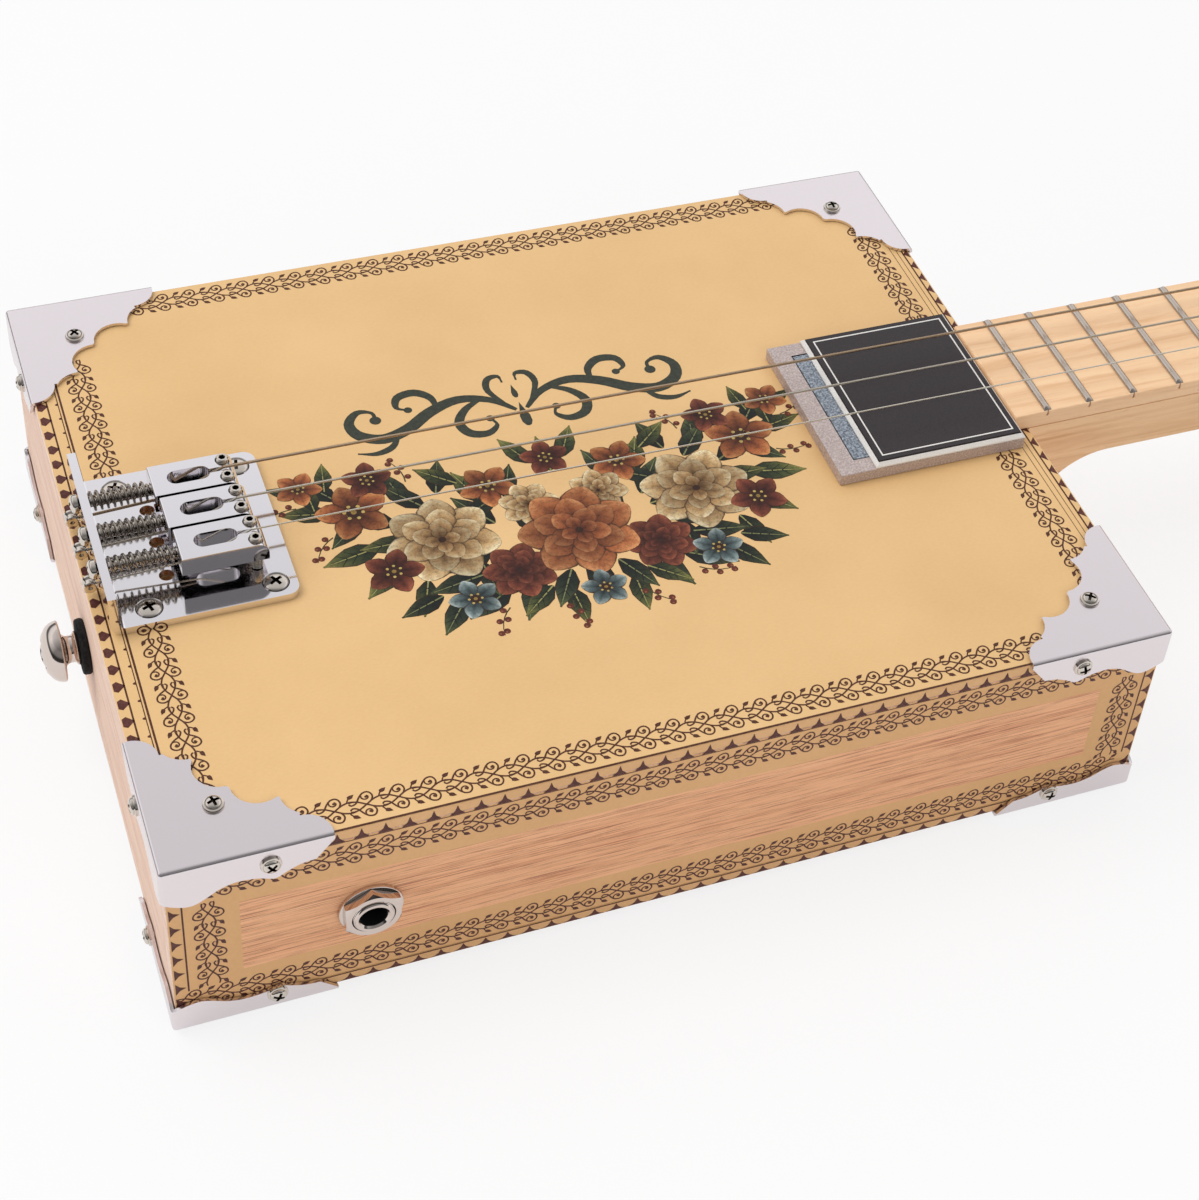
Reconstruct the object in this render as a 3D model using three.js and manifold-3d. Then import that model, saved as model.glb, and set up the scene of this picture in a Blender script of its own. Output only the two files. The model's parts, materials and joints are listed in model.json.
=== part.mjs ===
// Cigar box guitar: a three string, solid headed guitar built on a wooden box.
// Millimetres, +Z up, the neck along +X, the lid on top.
// The model is laid out about the centre of the box's back, and the whole group is then
// moved so that the origin lies under the middle of its full length, on what it rests on.
import * as THREE from "three";
import { mergeVertices } from "three/addons/utils/BufferGeometryUtils.js";
import { RoundedBoxGeometry } from "three/addons/geometries/RoundedBoxGeometry.js";
import Module from "manifold-3d";

const wasm = await Module();
wasm.setup();

// Gaps that pieces keep to each other, and how far a cut runs past a surface
const GLUE_GAP = 0.1;
const CLEARANCE = 0.3;
const OVERRUN = 1;

// Box, made of six boards
const BOX_LENGTH = 242.8;
const BOX_WIDTH = 189.2;
const BOX_HEIGHT = 54.9;
const SIDE_BOARD = 6;
const LID_BOARD = 3.2;
const BACK_BOARD = 3.2;

// Corner guards, folded from sheet over each corner, with three round head screws each
const GUARD_LEG = 38.1;
const GUARD_SHEET = 0.8;
const GUARD_FOLD_RADIUS = 1.2;
const LID_FLANGE_DEPTH = 12.8;
const BASE_FLANGE_DEPTH = 9.1;
const GUARD_PLATE_SCREW_INSET = 15.3;
const GUARD_FLANGE_SCREW_ALONG = 24;
const GUARD_FLANGE_SCREW_DEPTH = 5;
const GUARD_HEAD_RADIUS = 2.4;
const GUARD_HEAD_HEIGHT = 1.6;
const GUARD_SHANK_RADIUS = 1;
const GUARD_SHANK_LENGTH = 5;
// Half of the scalloped edge, from the end of the leg to the diagonal: centre, radius, start and end angle
const GUARD_ARC_SHARES = [
  [0.845, 0.031, 0.155, 0, 90],
  [0.934, 0.349, 0.165, 239, 179],
  [0.677, 0.499, 0.163, -62, -180],
];
const GUARD_ARC_STEP = 30;
// Lower edge of a flange from the corner outwards: along the leg, and down the flange
const GUARD_FLANGE_SHARES = [
  [0, 0.8], [0.1, 0.96], [0.18, 1], [0.26, 0.88], [0.33, 0.74], [0.43, 0.65], [0.55, 0.69],
  [0.65, 0.8], [0.72, 0.69], [0.8, 0.58], [0.89, 0.54], [1, 0.12],
];

// Bridge, a plate bent up at its back, with three sprung saddles
const PLATE_SHEET = 2;
const PLATE_WIDTH = 50.4;
const PLATE_FRONT_X = -73.85;
const PLATE_WALL_X = -118.4;
const PLATE_WALL_THICK = 2.1;
const PLATE_WALL_HEIGHT = 10;
const PLATE_BEND_RADIUS = 1.5;
const PLATE_CORNER_RADIUS = 3;
const STRING_HOLE_RADIUS = 1.8;
const STRING_HOLE_X = -102.65;
const BRIDGE_SCREW_BACK_X = -108.6;
const BRIDGE_SCREW_FRONT_X = -78.9;
const BRIDGE_SCREW_Y = 20.5;
const BRIDGE_HEAD_RADIUS = 2.95;
const BRIDGE_HEAD_CONE = 1.5;
const BRIDGE_HEAD_DOME = 0.8;
const BRIDGE_SHANK_RADIUS = 1.1;
const BRIDGE_SHANK_LENGTH = 12;
const BRIDGE_SLOT_WIDTH = 0.9;
const BRIDGE_SLOT_DEPTH = 1;
const BRIDGE_SLOT_REACH_SHARE = 0.6;

// Saddles, their set screws and their springs
const STRING_COUNT = 3;
const STRING_PITCH = 11.2;
const SADDLE_REAR_X = -101.3;
const SADDLE_STAGGER = 0.75;
const SADDLE_WIDTH = 10.4;
const SADDLE_LENGTH = 20.6;
const SADDLE_LIFT = 4;
const SADDLE_THICK = 5.2;
const SADDLE_SLOT_WIDTH = 4.5;
const SADDLE_SLOT_START = 4;
const SADDLE_SLOT_END = 14.3;
const SADDLE_CREST = 17.5;
const SADDLE_EDGE_RADIUS = 0.6;
const INTONATION_HEIGHT = 6.6;
const INTONATION_RADIUS = 1.5;
const INTONATION_REACH = 3.8;
const INTONATION_HEAD_RADIUS = 2.4;
const INTONATION_HEAD_LENGTH = 2;
const INTONATION_DOME_SHARE = 0.5;
const INTONATION_SLOT_WIDTH = 0.9;
const INTONATION_SLOT_DEPTH = 1;
const INTONATION_SLOT_REACH_SHARE = 0.7;
const SPRING_WIRE_RADIUS = 0.4;
const SPRING_RADIUS = 2.2;
const SPRING_CURLS = 9;
const SPRING_STEPS = 8;
const SPRING_SIDES = 5;
const LIFT_SCREW_RADIUS = 1.5;
const LIFT_SCREW_LENGTH = 9.8;
const LIFT_SCREW_FROM_REAR = 17.9;
const LIFT_SCREW_Y = 3;
const LIFT_SOCKET_RADIUS = 0.87;
const LIFT_SOCKET_DEPTH = 1.5;
const LIFT_SCREW_GAP = 0.25;

// Strings, from the thickest on the far side to the thinnest on the near side
const STRING_RADII = [0.48, 0.38, 0.25];
const BALL_RADIUS = 1.7;
const BALL_LENGTH = 3;
const BALL_HEIGHT = 2.15;
const STRING_SIDES = 6;
const WINDING_TURNS = 2;
const WINDING_STEPS = 24;
const WINDING_GAP = 0.45;

// Pickup, a flat plate with a raised cover beside the fretboard's end
const PICKUP_START_X = 64.5;
const PICKUP_LENGTH = 52;
const PICKUP_WIDTH = 51;
const PICKUP_BASE_THICK = 3.4;
const PICKUP_COVER_LENGTH = 42.4;
const PICKUP_COVER_THICK = 1.6;
const PICKUP_STRIP_INSET = 5.2;
const PICKUP_STRIP_FRONT_GAP = 1.2;
const PICKUP_STRIP_LENGTH = 41.8;
const PICKUP_STRIP_DEPTH = 1.2;
const PICKUP_STRIP_SLIT = 0.35;

// Neck: a beam that runs through the box under the lid, a heel, a shaft and a dropped head
const NECK_WIDTH = 38.1;
const NECK_THICK = 14;
const NECK_EDGE_RADIUS = 5;
const NECK_EDGE_START_X = 200;
const NECK_EDGE_FADE = 30;
const NECK_EDGE_LEAST = 0.02;
const HEEL_THICK = 6.5;
const HEEL_BOTTOM_Z = 15;
const HEEL_SWEEP_RADIUS = 20;
const SCALE_LENGTH = 628.65;
const SCALE_START_X = -83.6;
const FRETBOARD_START_X = 116.8;
const FRETBOARD_THICK = 5;
const SEMITONES = 12;
const FRET_WIDTH = 2.2;
const FRET_HEIGHT = 1;
const FRET_SEAT = 0.5;
const FRET_END_INSET = 0.3;
const NUT_THICK = 5;
const NUT_HEIGHT = 3.1;
const NUT_ACTION = 0.6;
const NUT_TOP_RADIUS = 1;
const HEAD_LENGTH = 125;
const HEAD_WIDTH = 56;
const HEAD_TIP_WIDTH = 46;
const HEAD_FACE_DROP = 2;
const HEAD_STEP_LENGTH = 4;
const HEAD_FLARE_LENGTH = 24;
const HEAD_TIP_BOW = 7;

// Tuners: an open worm and wheel under the head turns each string post
const POST_FROM_NUT = 34.65;
const POST_SPACING = 45;
const POST_Y = 15;
const POST_RADIUS = 3;
const POST_HEIGHT = 8.5;
const POST_WAIST_RADIUS = 2.4;
const POST_WAIST_START = 1.5;
const POST_WAIST_END = 6.5;
const POST_HOLE_RADIUS = 0.9;
const POST_SIDES = 12;
const WHEEL_TEETH = 15;
const WHEEL_PITCH_RADIUS = 5.2;
const WHEEL_THICK = 3;
const TOOTH_ADDENDUM = 0.55;
const TOOTH_DEDENDUM = 0.85;
const TOOTH_FLANK_ANGLE = 20;
const WORM_PITCH_RADIUS = 2.6;
const WORM_LENGTH = 7;
const WORM_STEPS = 10;
const WORM_SHOULDER = 0.3;
const TUNER_SHEET = 1;
const TUNER_PLATE_LENGTH = 34;
const TUNER_PLATE_WIDTH = 14;
const TUNER_PLATE_BACK = 13;
const TUNER_PLATE_CORNER = 2.5;
const TUNER_SCREW_INSET = 3;
const TUNER_SCREW_HEAD_RADIUS = 2;
const TUNER_SCREW_HEAD_HEIGHT = 1.2;
const TUNER_SCREW_RADIUS = 0.9;
const TUNER_SCREW_LENGTH = 7;
const EAR_WIDTH = 6.4;
const EAR_BELOW_AXIS = 3.5;
const KEY_SHAFT_RADIUS = 1.2;
const KEY_SHAFT_LENGTH = 8.6;
const KEY_NECK_RADIUS = 2;
const KEY_NECK_LENGTH = 2.5;
const BUTTON_LENGTH = 14;
const BUTTON_WIDTH = 17;
const BUTTON_THICK = 5.6;
const BUTTON_BEVEL = 1.3;

// Jack on the front, a barrel behind the board and a threaded nose through it
const JACK_X = -76.5;
const JACK_Z = 26;
const JACK_NOSE_RADIUS = 4.75;
const JACK_NOSE_PROUD = 3.6;
const JACK_BORE_RADIUS = 3.25;
const JACK_MOUTH_RADIUS = 3.6;
const JACK_MOUTH_DEPTH = 0.4;
const JACK_BARREL_RADIUS = 6.5;
const JACK_BARREL_LENGTH = 30;
const JACK_END_WALL = 2;
const JACK_WASHER_RADIUS = 7.5;
const JACK_WASHER_THICK = 0.9;
const JACK_NUT_FLATS = 12.7;
const JACK_NUT_THICK = 2;

// Strap button on the tail, on a felt washer
const STRAP_Z = 26.7;
const FELT_RADIUS = 7;
const FELT_THICK = 2;
const STRAP_HEAD_RADIUS = 7.6;
const STRAP_LENGTH = 8.3;
const STRAP_SCREW_RADIUS = 1.8;
const STRAP_SCREW_HEAD_RADIUS = 3.6;
const STRAP_SCREW_HEAD_HEIGHT = 1.6;
const STRAP_SCREW_LENGTH = 25;
const STRAP_RECESS = 1.2;
const STRAP_SIDES = 16;
// Half section from the felt to the dome: distance from the felt, and radius
const STRAP_PROFILE_SHARES = [
  [0, 0.55], [0.08, 0.55], [0.13, 0.46], [0.3, 0.44], [0.4, 0.5], [0.44, 0.62], [0.46, 0.9],
  [0.48, 0.98], [0.525, 1], [0.6, 0.99], [0.7, 0.95], [0.8, 0.88], [0.9, 0.75], [1, 0.58],
];

// Round faces have this many sides
const ROUND_SIDES = 24;
const SMALL_SIDES = 12;
const TINY_SIDES = 8;
const GUARD_HEAD_SIDES = 8;
const SHANK_SIDES = 6;
const PLATE_HOLE_SIDES = 10;

// Looks: colour, roughness and metalness
const PAPER = { color: 0xeec68f, roughness: 0.7, metalness: 0 };
const WOOD = { color: 0xcd9673, roughness: 0.7, metalness: 0 };
const MAPLE = { color: 0xebbe8c, roughness: 0.5, metalness: 0 };
const NICKEL = { color: 0xd7d2d2, roughness: 0.35, metalness: 0.9 };
const CHROME = { color: 0xd7d2d2, roughness: 0.25, metalness: 0.9 };
const STEEL = { color: 0xb4b2b0, roughness: 0.3, metalness: 0.9 };
const BRONZE = { color: 0xb08c5a, roughness: 0.35, metalness: 0.9 };
const GREY_PLATE = { color: 0xaaa5a5, roughness: 0.6, metalness: 0.2 };
const GREY_STRIP = { color: 0x7d8791, roughness: 0.6, metalness: 0.2 };
const BLACK = { color: 0x322a2d, roughness: 0.5, metalness: 0 };
const FELT = { color: 0x181617, roughness: 0.95, metalness: 0 };
const BONE = { color: 0xf1ead8, roughness: 0.4, metalness: 0 };

// Places that follow from the sizes
const LID_TOP = BOX_HEIGHT;
const LID_UNDER = LID_TOP - LID_BOARD;
const FRONT_Y = -BOX_WIDTH / 2;
const TAIL_X = -BOX_LENGTH / 2;
const HEAD_X = BOX_LENGTH / 2;
const GUARD_STANDOFF = CLEARANCE + GUARD_SHEET;
const PLATE_TOP = LID_TOP + GLUE_GAP + PLATE_SHEET;
const SADDLE_UNDER = PLATE_TOP + SADDLE_LIFT;
const SADDLE_TOP = SADDLE_UNDER + SADDLE_THICK;
const FRETBOARD_TOP = LID_TOP + FRETBOARD_THICK;
const NECK_BOTTOM = LID_TOP - NECK_THICK;
const NUT_X = SCALE_START_X + SCALE_LENGTH;
const NUT_BACK_X = NUT_X + NUT_THICK;
const HEAD_FACE = LID_TOP - HEAD_FACE_DROP;
const HEAD_START_X = NUT_BACK_X + CLEARANCE;
const HEAD_END_X = HEAD_START_X + HEAD_LENGTH;
const POST_BACK_X = HEAD_START_X + POST_FROM_NUT;
const POST_FRONT_X = POST_BACK_X + POST_SPACING;
const TOOTH_PITCH = (2 * Math.PI * WHEEL_PITCH_RADIUS) / WHEEL_TEETH;
const WORM_OFFSET = WHEEL_PITCH_RADIUS + WORM_PITCH_RADIUS;
const WORM_RADIUS = WORM_PITCH_RADIUS + TOOTH_ADDENDUM;
const WORM_ROOT_RADIUS = WORM_PITCH_RADIUS - TOOTH_DEDENDUM;
const TUNER_UNDER = GLUE_GAP + TUNER_SHEET;
const WORM_DROP = TUNER_UNDER + CLEARANCE + WORM_RADIUS;
const STRAP_TAIL_X = TAIL_X - 2 * GLUE_GAP - FELT_THICK - STRAP_LENGTH;
const REST_Z = -GUARD_STANDOFF - GUARD_HEAD_HEIGHT;

const radians = (degrees) => (degrees * Math.PI) / 180;

// Helpers that make closed solids and pieces

// A closed solid from any closed geometry, its faces turned outwards.
function solidFrom(geometry) {
  const bare = new THREE.BufferGeometry();
  bare.setAttribute("position", geometry.getAttribute("position"));
  bare.setIndex(geometry.getIndex());
  const merged = mergeVertices(bare);
  const points = merged.getAttribute("position").array;
  const corners = [];
  const index = merged.getIndex().array;
  const a = new THREE.Vector3();
  const b = new THREE.Vector3();
  const c = new THREE.Vector3();
  let volume = 0;
  for (let i = 0; i < index.length; i += 3) {
    const [p, q, r] = index.slice(i, i + 3);
    if (p !== q && q !== r && r !== p) {
      corners.push(p, q, r);
      a.fromArray(points, 3 * p);
      b.fromArray(points, 3 * q);
      c.fromArray(points, 3 * r);
      volume += a.dot(b.cross(c));
    }
  }
  if (volume < 0) corners.reverse();
  const triVerts = new Uint32Array(corners);
  return new wasm.Manifold(new wasm.Mesh({ numProp: 3, vertProperties: points, triVerts }));
}

// The geometry of a solid, for a mesh.
function geometryFrom(solid) {
  const { vertProperties, triVerts } = solid.getMesh();
  const geometry = new THREE.BufferGeometry();
  geometry.setAttribute("position", new THREE.BufferAttribute(vertProperties, 3));
  geometry.setIndex(new THREE.BufferAttribute(triVerts, 1));
  geometry.computeVertexNormals();
  return geometry;
}

function piece(name, solid, look) {
  const mesh = new THREE.Mesh(geometryFrom(solid), new THREE.MeshStandardMaterial(look));
  mesh.name = name;
  return mesh;
}

function placed(mesh, x, y, z, turn = 0) {
  mesh.position.set(x, y, z);
  mesh.rotation.z = turn;
  return mesh;
}

// A box between two corners.
function boxBetween(low, high) {
  const size = high.map((value, axis) => value - low[axis]);
  const middle = high.map((value, axis) => (value + low[axis]) / 2);
  return solidFrom(new THREE.BoxGeometry(...size).translate(...middle));
}

// A round bar along one axis (a unit vector) from a start point.
function bar(radius, length, start, along, sides = SMALL_SIDES) {
  const geometry = new THREE.CylinderGeometry(radius, radius, length, sides);
  return solidFrom(laidAlong(geometry.translate(0, length / 2, 0), start, along));
}

// Turns a geometry from the Y axis to another axis, and moves it to a start point.
function laidAlong(geometry, start, along) {
  const direction = new THREE.Vector3(...along);
  const turn = new THREE.Quaternion().setFromUnitVectors(new THREE.Vector3(0, 1, 0), direction);
  return geometry.applyQuaternion(turn).translate(...start);
}

// A turned solid: radius and distance along the axis for each point, from a start point.
function turned(profile, start, along, sides = ROUND_SIDES) {
  const points = profile.map(([radius, distance]) => new THREE.Vector2(radius, distance));
  return solidFrom(laidAlong(new THREE.LatheGeometry(points, sides), start, along));
}

const shapeOf = (points) => new THREE.Shape(points.map(([x, y]) => new THREE.Vector2(x, y)));

// An outline in plan, standing from one height to another.
function upright(points, low, high) {
  const options = { depth: high - low, bevelEnabled: false };
  return solidFrom(new THREE.ExtrudeGeometry(shapeOf(points), options).translate(0, 0, low));
}

// An outline of x and z, as wide as said and centred on y.
function across(points, width) {
  const options = { depth: width, bevelEnabled: false };
  const geometry = new THREE.ExtrudeGeometry(shapeOf(points), options);
  return solidFrom(geometry.translate(0, 0, -width / 2).rotateX(Math.PI / 2));
}

// An outline of y and z, from one x to another.
function lengthwise(points, start, end) {
  const options = { depth: end - start, bevelEnabled: false };
  const turn = new THREE.Matrix4().makeBasis(
    new THREE.Vector3(0, 1, 0), new THREE.Vector3(0, 0, 1), new THREE.Vector3(1, 0, 0),
  );
  const geometry = new THREE.ExtrudeGeometry(shapeOf(points), options).applyMatrix4(turn);
  return solidFrom(geometry.translate(start, 0, 0));
}

// Points on an arc, both ends included.
function arc(x, y, radius, from, to, steps) {
  return Array.from({ length: steps + 1 }, (_, step) => {
    const angle = radians(from + ((to - from) * step) / steps);
    return [x + radius * Math.cos(angle), y + radius * Math.sin(angle)];
  });
}

// A dome of a round head: its profile from the rim to the axis.
function domeProfile(radius, height, base, steps = 3) {
  return Array.from({ length: steps + 1 }, (_, step) => {
    const angle = (Math.PI / 2) * (step / steps);
    return [step === steps ? 0 : radius * Math.cos(angle), base + height * Math.sin(angle)];
  });
}

const joined = (solids) => wasm.Manifold.union(solids);

// A curve whose steps are the given points, so that a sweep bends only there.
class StepCurve extends THREE.Curve {
  constructor(points) {
    super();
    this.points = points;
  }

  stepAt(share) {
    return Math.round(share * (this.points.length - 1));
  }

  getPointAt(share) {
    return this.points[this.stepAt(share)].clone();
  }

  getTangentAt(share) {
    const step = this.stepAt(share);
    const here = this.points[step];
    const before = this.points[Math.max(step - 1, 0)];
    const after = this.points[Math.min(step + 1, this.points.length - 1)];
    const arriving = here.clone().sub(before).normalize();
    const leaving = after.clone().sub(here).normalize();
    return arriving.add(leaving).normalize();
  }
}

// A round tube through points.
function tube(points, radius, sides) {
  const section = shapeOf(arc(0, 0, radius, 0, 360, sides).slice(0, sides));
  const extrudePath = new StepCurve(points);
  const steps = points.length - 1;
  return solidFrom(new THREE.ExtrudeGeometry(section, { steps, extrudePath, curveSegments: 1 }));
}

// The least gap of a coil to itself: between its own points half a turn or more apart.
function leastGap(points, turnSteps, radius) {
  let least = Infinity;
  for (let i = 0; i < points.length; i += 1) {
    for (let j = i + turnSteps / 2; j < points.length; j += 1) {
      least = Math.min(least, points[i].distanceTo(points[j]) - 2 * radius);
    }
  }
  return least;
}

// Box

// The pilot holes of one corner guard's screws, in the guard's own corner.
function guardPilots() {
  const radius = GUARD_SHANK_RADIUS + CLEARANCE;
  const reach = GUARD_SHEET + GUARD_SHANK_LENGTH + CLEARANCE;
  const inset = GUARD_PLATE_SCREW_INSET;
  const along = GUARD_FLANGE_SCREW_ALONG;
  const depth = GUARD_FLANGE_SCREW_DEPTH;
  return joined([
    bar(radius, reach, [inset, inset, 0], [0, 0, -1], SHANK_SIDES),
    bar(radius, reach, [along, 0, -depth], [0, 1, 0], SHANK_SIDES),
    bar(radius, reach, [0, along, -depth], [1, 0, 0], SHANK_SIDES),
  ]);
}

// Where each guard's corner lies, and how the guard is turned there.
function guardPlaces() {
  const x = BOX_LENGTH / 2 + GUARD_STANDOFF;
  const y = BOX_WIDTH / 2 + GUARD_STANDOFF;
  const corners = [[-x, -y, 0], [x, -y, 90], [x, y, 180], [-x, y, 270]];
  const names = ["tail_near", "head_near", "head_far", "tail_far"];
  const lidZ = LID_TOP + GUARD_STANDOFF;
  return names.flatMap((name, corner) => {
    const [cornerX, cornerY, turn] = corners[corner];
    const at = { x: cornerX, y: cornerY };
    return [
      { ...at, name: `lid_guard_${name}`, z: lidZ, turn, flip: 0 },
      { ...at, name: `base_guard_${name}`, z: -GUARD_STANDOFF, turn: turn + 90, flip: 180 },
    ];
  });
}

// The turn of a guard: flipped about X for the base, then turned about Z.
function guardRotation({ turn, flip }) {
  return new THREE.Euler(radians(flip), 0, radians(turn), "ZYX");
}

function allGuardPilots() {
  const pilots = guardPilots();
  const places = guardPlaces();
  return joined(places.map((place) => {
    const matrix = new THREE.Matrix4().makeRotationFromEuler(guardRotation(place));
    matrix.setPosition(place.x, place.y, place.z);
    return solidFrom(geometryFrom(pilots).applyMatrix4(matrix));
  }));
}

function makeBoards() {
  const pilots = allGuardPilots();
  const sideLow = BACK_BOARD + GLUE_GAP;
  const sideHigh = LID_UNDER - GLUE_GAP;
  const insideX = HEAD_X - SIDE_BOARD;
  const insideY = BOX_WIDTH / 2 - SIDE_BOARD - GLUE_GAP;
  const farY = BOX_WIDTH / 2;
  const lid = boxBetween([TAIL_X, -farY, LID_UNDER], [HEAD_X, farY, LID_TOP]);
  const back = boxBetween([TAIL_X, -farY, 0], [HEAD_X, farY, BACK_BOARD]);
  const front = boxBetween([TAIL_X, FRONT_Y, sideLow], [HEAD_X, FRONT_Y + SIDE_BOARD, sideHigh]);
  const rear = boxBetween([TAIL_X, farY - SIDE_BOARD, sideLow], [HEAD_X, farY, sideHigh]);
  const tail = boxBetween([TAIL_X, -insideY, sideLow], [-insideX, insideY, sideHigh]);
  const head = boxBetween([insideX, -insideY, sideLow], [HEAD_X, insideY, sideHigh]);
  const jackHole = bar(
    JACK_NOSE_RADIUS + CLEARANCE, SIDE_BOARD + 2 * OVERRUN,
    [JACK_X, FRONT_Y - OVERRUN, JACK_Z], [0, 1, 0], ROUND_SIDES,
  );
  const strapHole = bar(
    STRAP_SCREW_RADIUS + CLEARANCE, SIDE_BOARD + 2 * OVERRUN,
    [TAIL_X - OVERRUN, 0, STRAP_Z], [1, 0, 0],
  );
  const notchY = NECK_WIDTH / 2 + CLEARANCE;
  const notch = boxBetween(
    [insideX - OVERRUN, -notchY, NECK_BOTTOM - CLEARANCE], [HEAD_X + OVERRUN, notchY, LID_TOP],
  );
  const cuts = {
    lid: lid.subtract(joined([pilots, bridgePilots()])),
    back_panel: back.subtract(pilots),
    front_side: front.subtract(joined([pilots, jackHole])),
    back_side: rear.subtract(pilots),
    tail_side: tail.subtract(joined([pilots, strapHole])),
    head_side: head.subtract(joined([pilots, notch])),
  };
  return Object.entries(cuts).map(([name, solid]) => {
    const papered = name === "lid" || name === "front_side";
    return piece(name, solid, papered ? PAPER : WOOD);
  });
}

// Corner guards

// The scalloped plate of a guard, seen from above, with its corner at the origin.
function guardPlateOutline() {
  const half = GUARD_ARC_SHARES.flatMap(([x, y, radius, from, to]) => {
    const steps = Math.ceil(Math.abs(to - from) / GUARD_ARC_STEP);
    return arc(x * GUARD_LEG, y * GUARD_LEG, radius * GUARD_LEG, from, to, steps);
  });
  const mirrored = half.map(([x, y]) => [y, x]).reverse();
  return [[-OVERRUN, -OVERRUN], [GUARD_LEG, -OVERRUN], ...half, ...mirrored, [-OVERRUN, GUARD_LEG]];
}

// A flange's outline: along the leg, and down from the fold.
function guardFlangeOutline(depth) {
  const edge = GUARD_FLANGE_SHARES.map(([along, down]) => [along * GUARD_LEG, -down * depth]);
  return [[-OVERRUN, OVERRUN], [-OVERRUN, edge[0][1]], ...edge, [GUARD_LEG, OVERRUN]];
}

// A round head screw of a guard: its head outside, its shank inwards.
function guardScrew(start, outwards) {
  const inwards = outwards.map((value) => -value);
  const seat = GUARD_SHEET / 2;
  const profile = [
    [0, -seat], [GUARD_HEAD_RADIUS, -seat], ...domeProfile(GUARD_HEAD_RADIUS, GUARD_HEAD_HEIGHT, 0, 2),
  ];
  return joined([
    turned(profile, start, outwards, GUARD_HEAD_SIDES),
    bar(GUARD_SHANK_RADIUS, GUARD_SHEET + GUARD_SHANK_LENGTH, start, inwards, SHANK_SIDES),
  ]);
}

// A corner guard folded from sheet: a plate and two flanges, with its outer corner at the origin.
function guardSolid(flangeDepth) {
  const reach = 2 * GUARD_LEG;
  const inner = reach - 2 * GUARD_SHEET;
  const innerRadius = GUARD_FOLD_RADIUS - GUARD_SHEET;
  const outside = new RoundedBoxGeometry(reach, reach, reach, 1, GUARD_FOLD_RADIUS);
  const inside = new RoundedBoxGeometry(inner, inner, inner, 1, innerRadius);
  const middle = [reach / 2, reach / 2, -reach / 2];
  const hollow = solidFrom(inside.translate(...middle));
  const folded = solidFrom(outside.translate(...middle)).subtract(hollow);
  const fold = GUARD_FOLD_RADIUS;
  const plate = upright(guardPlateOutline(), -fold, OVERRUN);
  const edge = guardFlangeOutline(flangeDepth);
  const flange = across(edge, 2 * fold);
  const mirrored = across(edge.map(([along, down]) => [-along, down]), 2 * fold);
  const otherFlange = solidFrom(geometryFrom(mirrored).rotateZ(-Math.PI / 2));
  const outline = joined([plate, flange, otherFlange]);
  const inset = GUARD_PLATE_SCREW_INSET;
  const along = GUARD_FLANGE_SCREW_ALONG;
  const depth = GUARD_FLANGE_SCREW_DEPTH;
  return joined([
    folded.intersect(outline),
    guardScrew([inset, inset, 0], [0, 0, 1]),
    guardScrew([along, 0, -depth], [0, -1, 0]),
    guardScrew([0, along, -depth], [-1, 0, 0]),
  ]);
}

function makeGuards() {
  const lidGuard = guardSolid(LID_FLANGE_DEPTH);
  const baseGuard = guardSolid(BASE_FLANGE_DEPTH);
  return guardPlaces().map((place) => {
    const mesh = piece(place.name, place.flip ? baseGuard : lidGuard, NICKEL);
    mesh.position.set(place.x, place.y, place.z);
    mesh.rotation.copy(guardRotation(place));
    return mesh;
  });
}

// Bridge

const stringY = (index) => STRING_PITCH * ((STRING_COUNT - 1) / 2 - index);
const saddleRear = (index) => SADDLE_REAR_X + SADDLE_STAGGER * index;

function bridgeScrewPlaces() {
  const places = [BRIDGE_SCREW_BACK_X, BRIDGE_SCREW_FRONT_X];
  return places.flatMap((x) => [[x, -BRIDGE_SCREW_Y], [x, BRIDGE_SCREW_Y]]);
}

function bridgePilots() {
  const radius = BRIDGE_SHANK_RADIUS + CLEARANCE;
  const depth = LID_BOARD + 2 * OVERRUN;
  return joined(bridgeScrewPlaces().map(([x, y]) => {
    return bar(radius, depth, [x, y, LID_TOP + OVERRUN], [0, 0, -1], TINY_SIDES);
  }));
}

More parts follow.
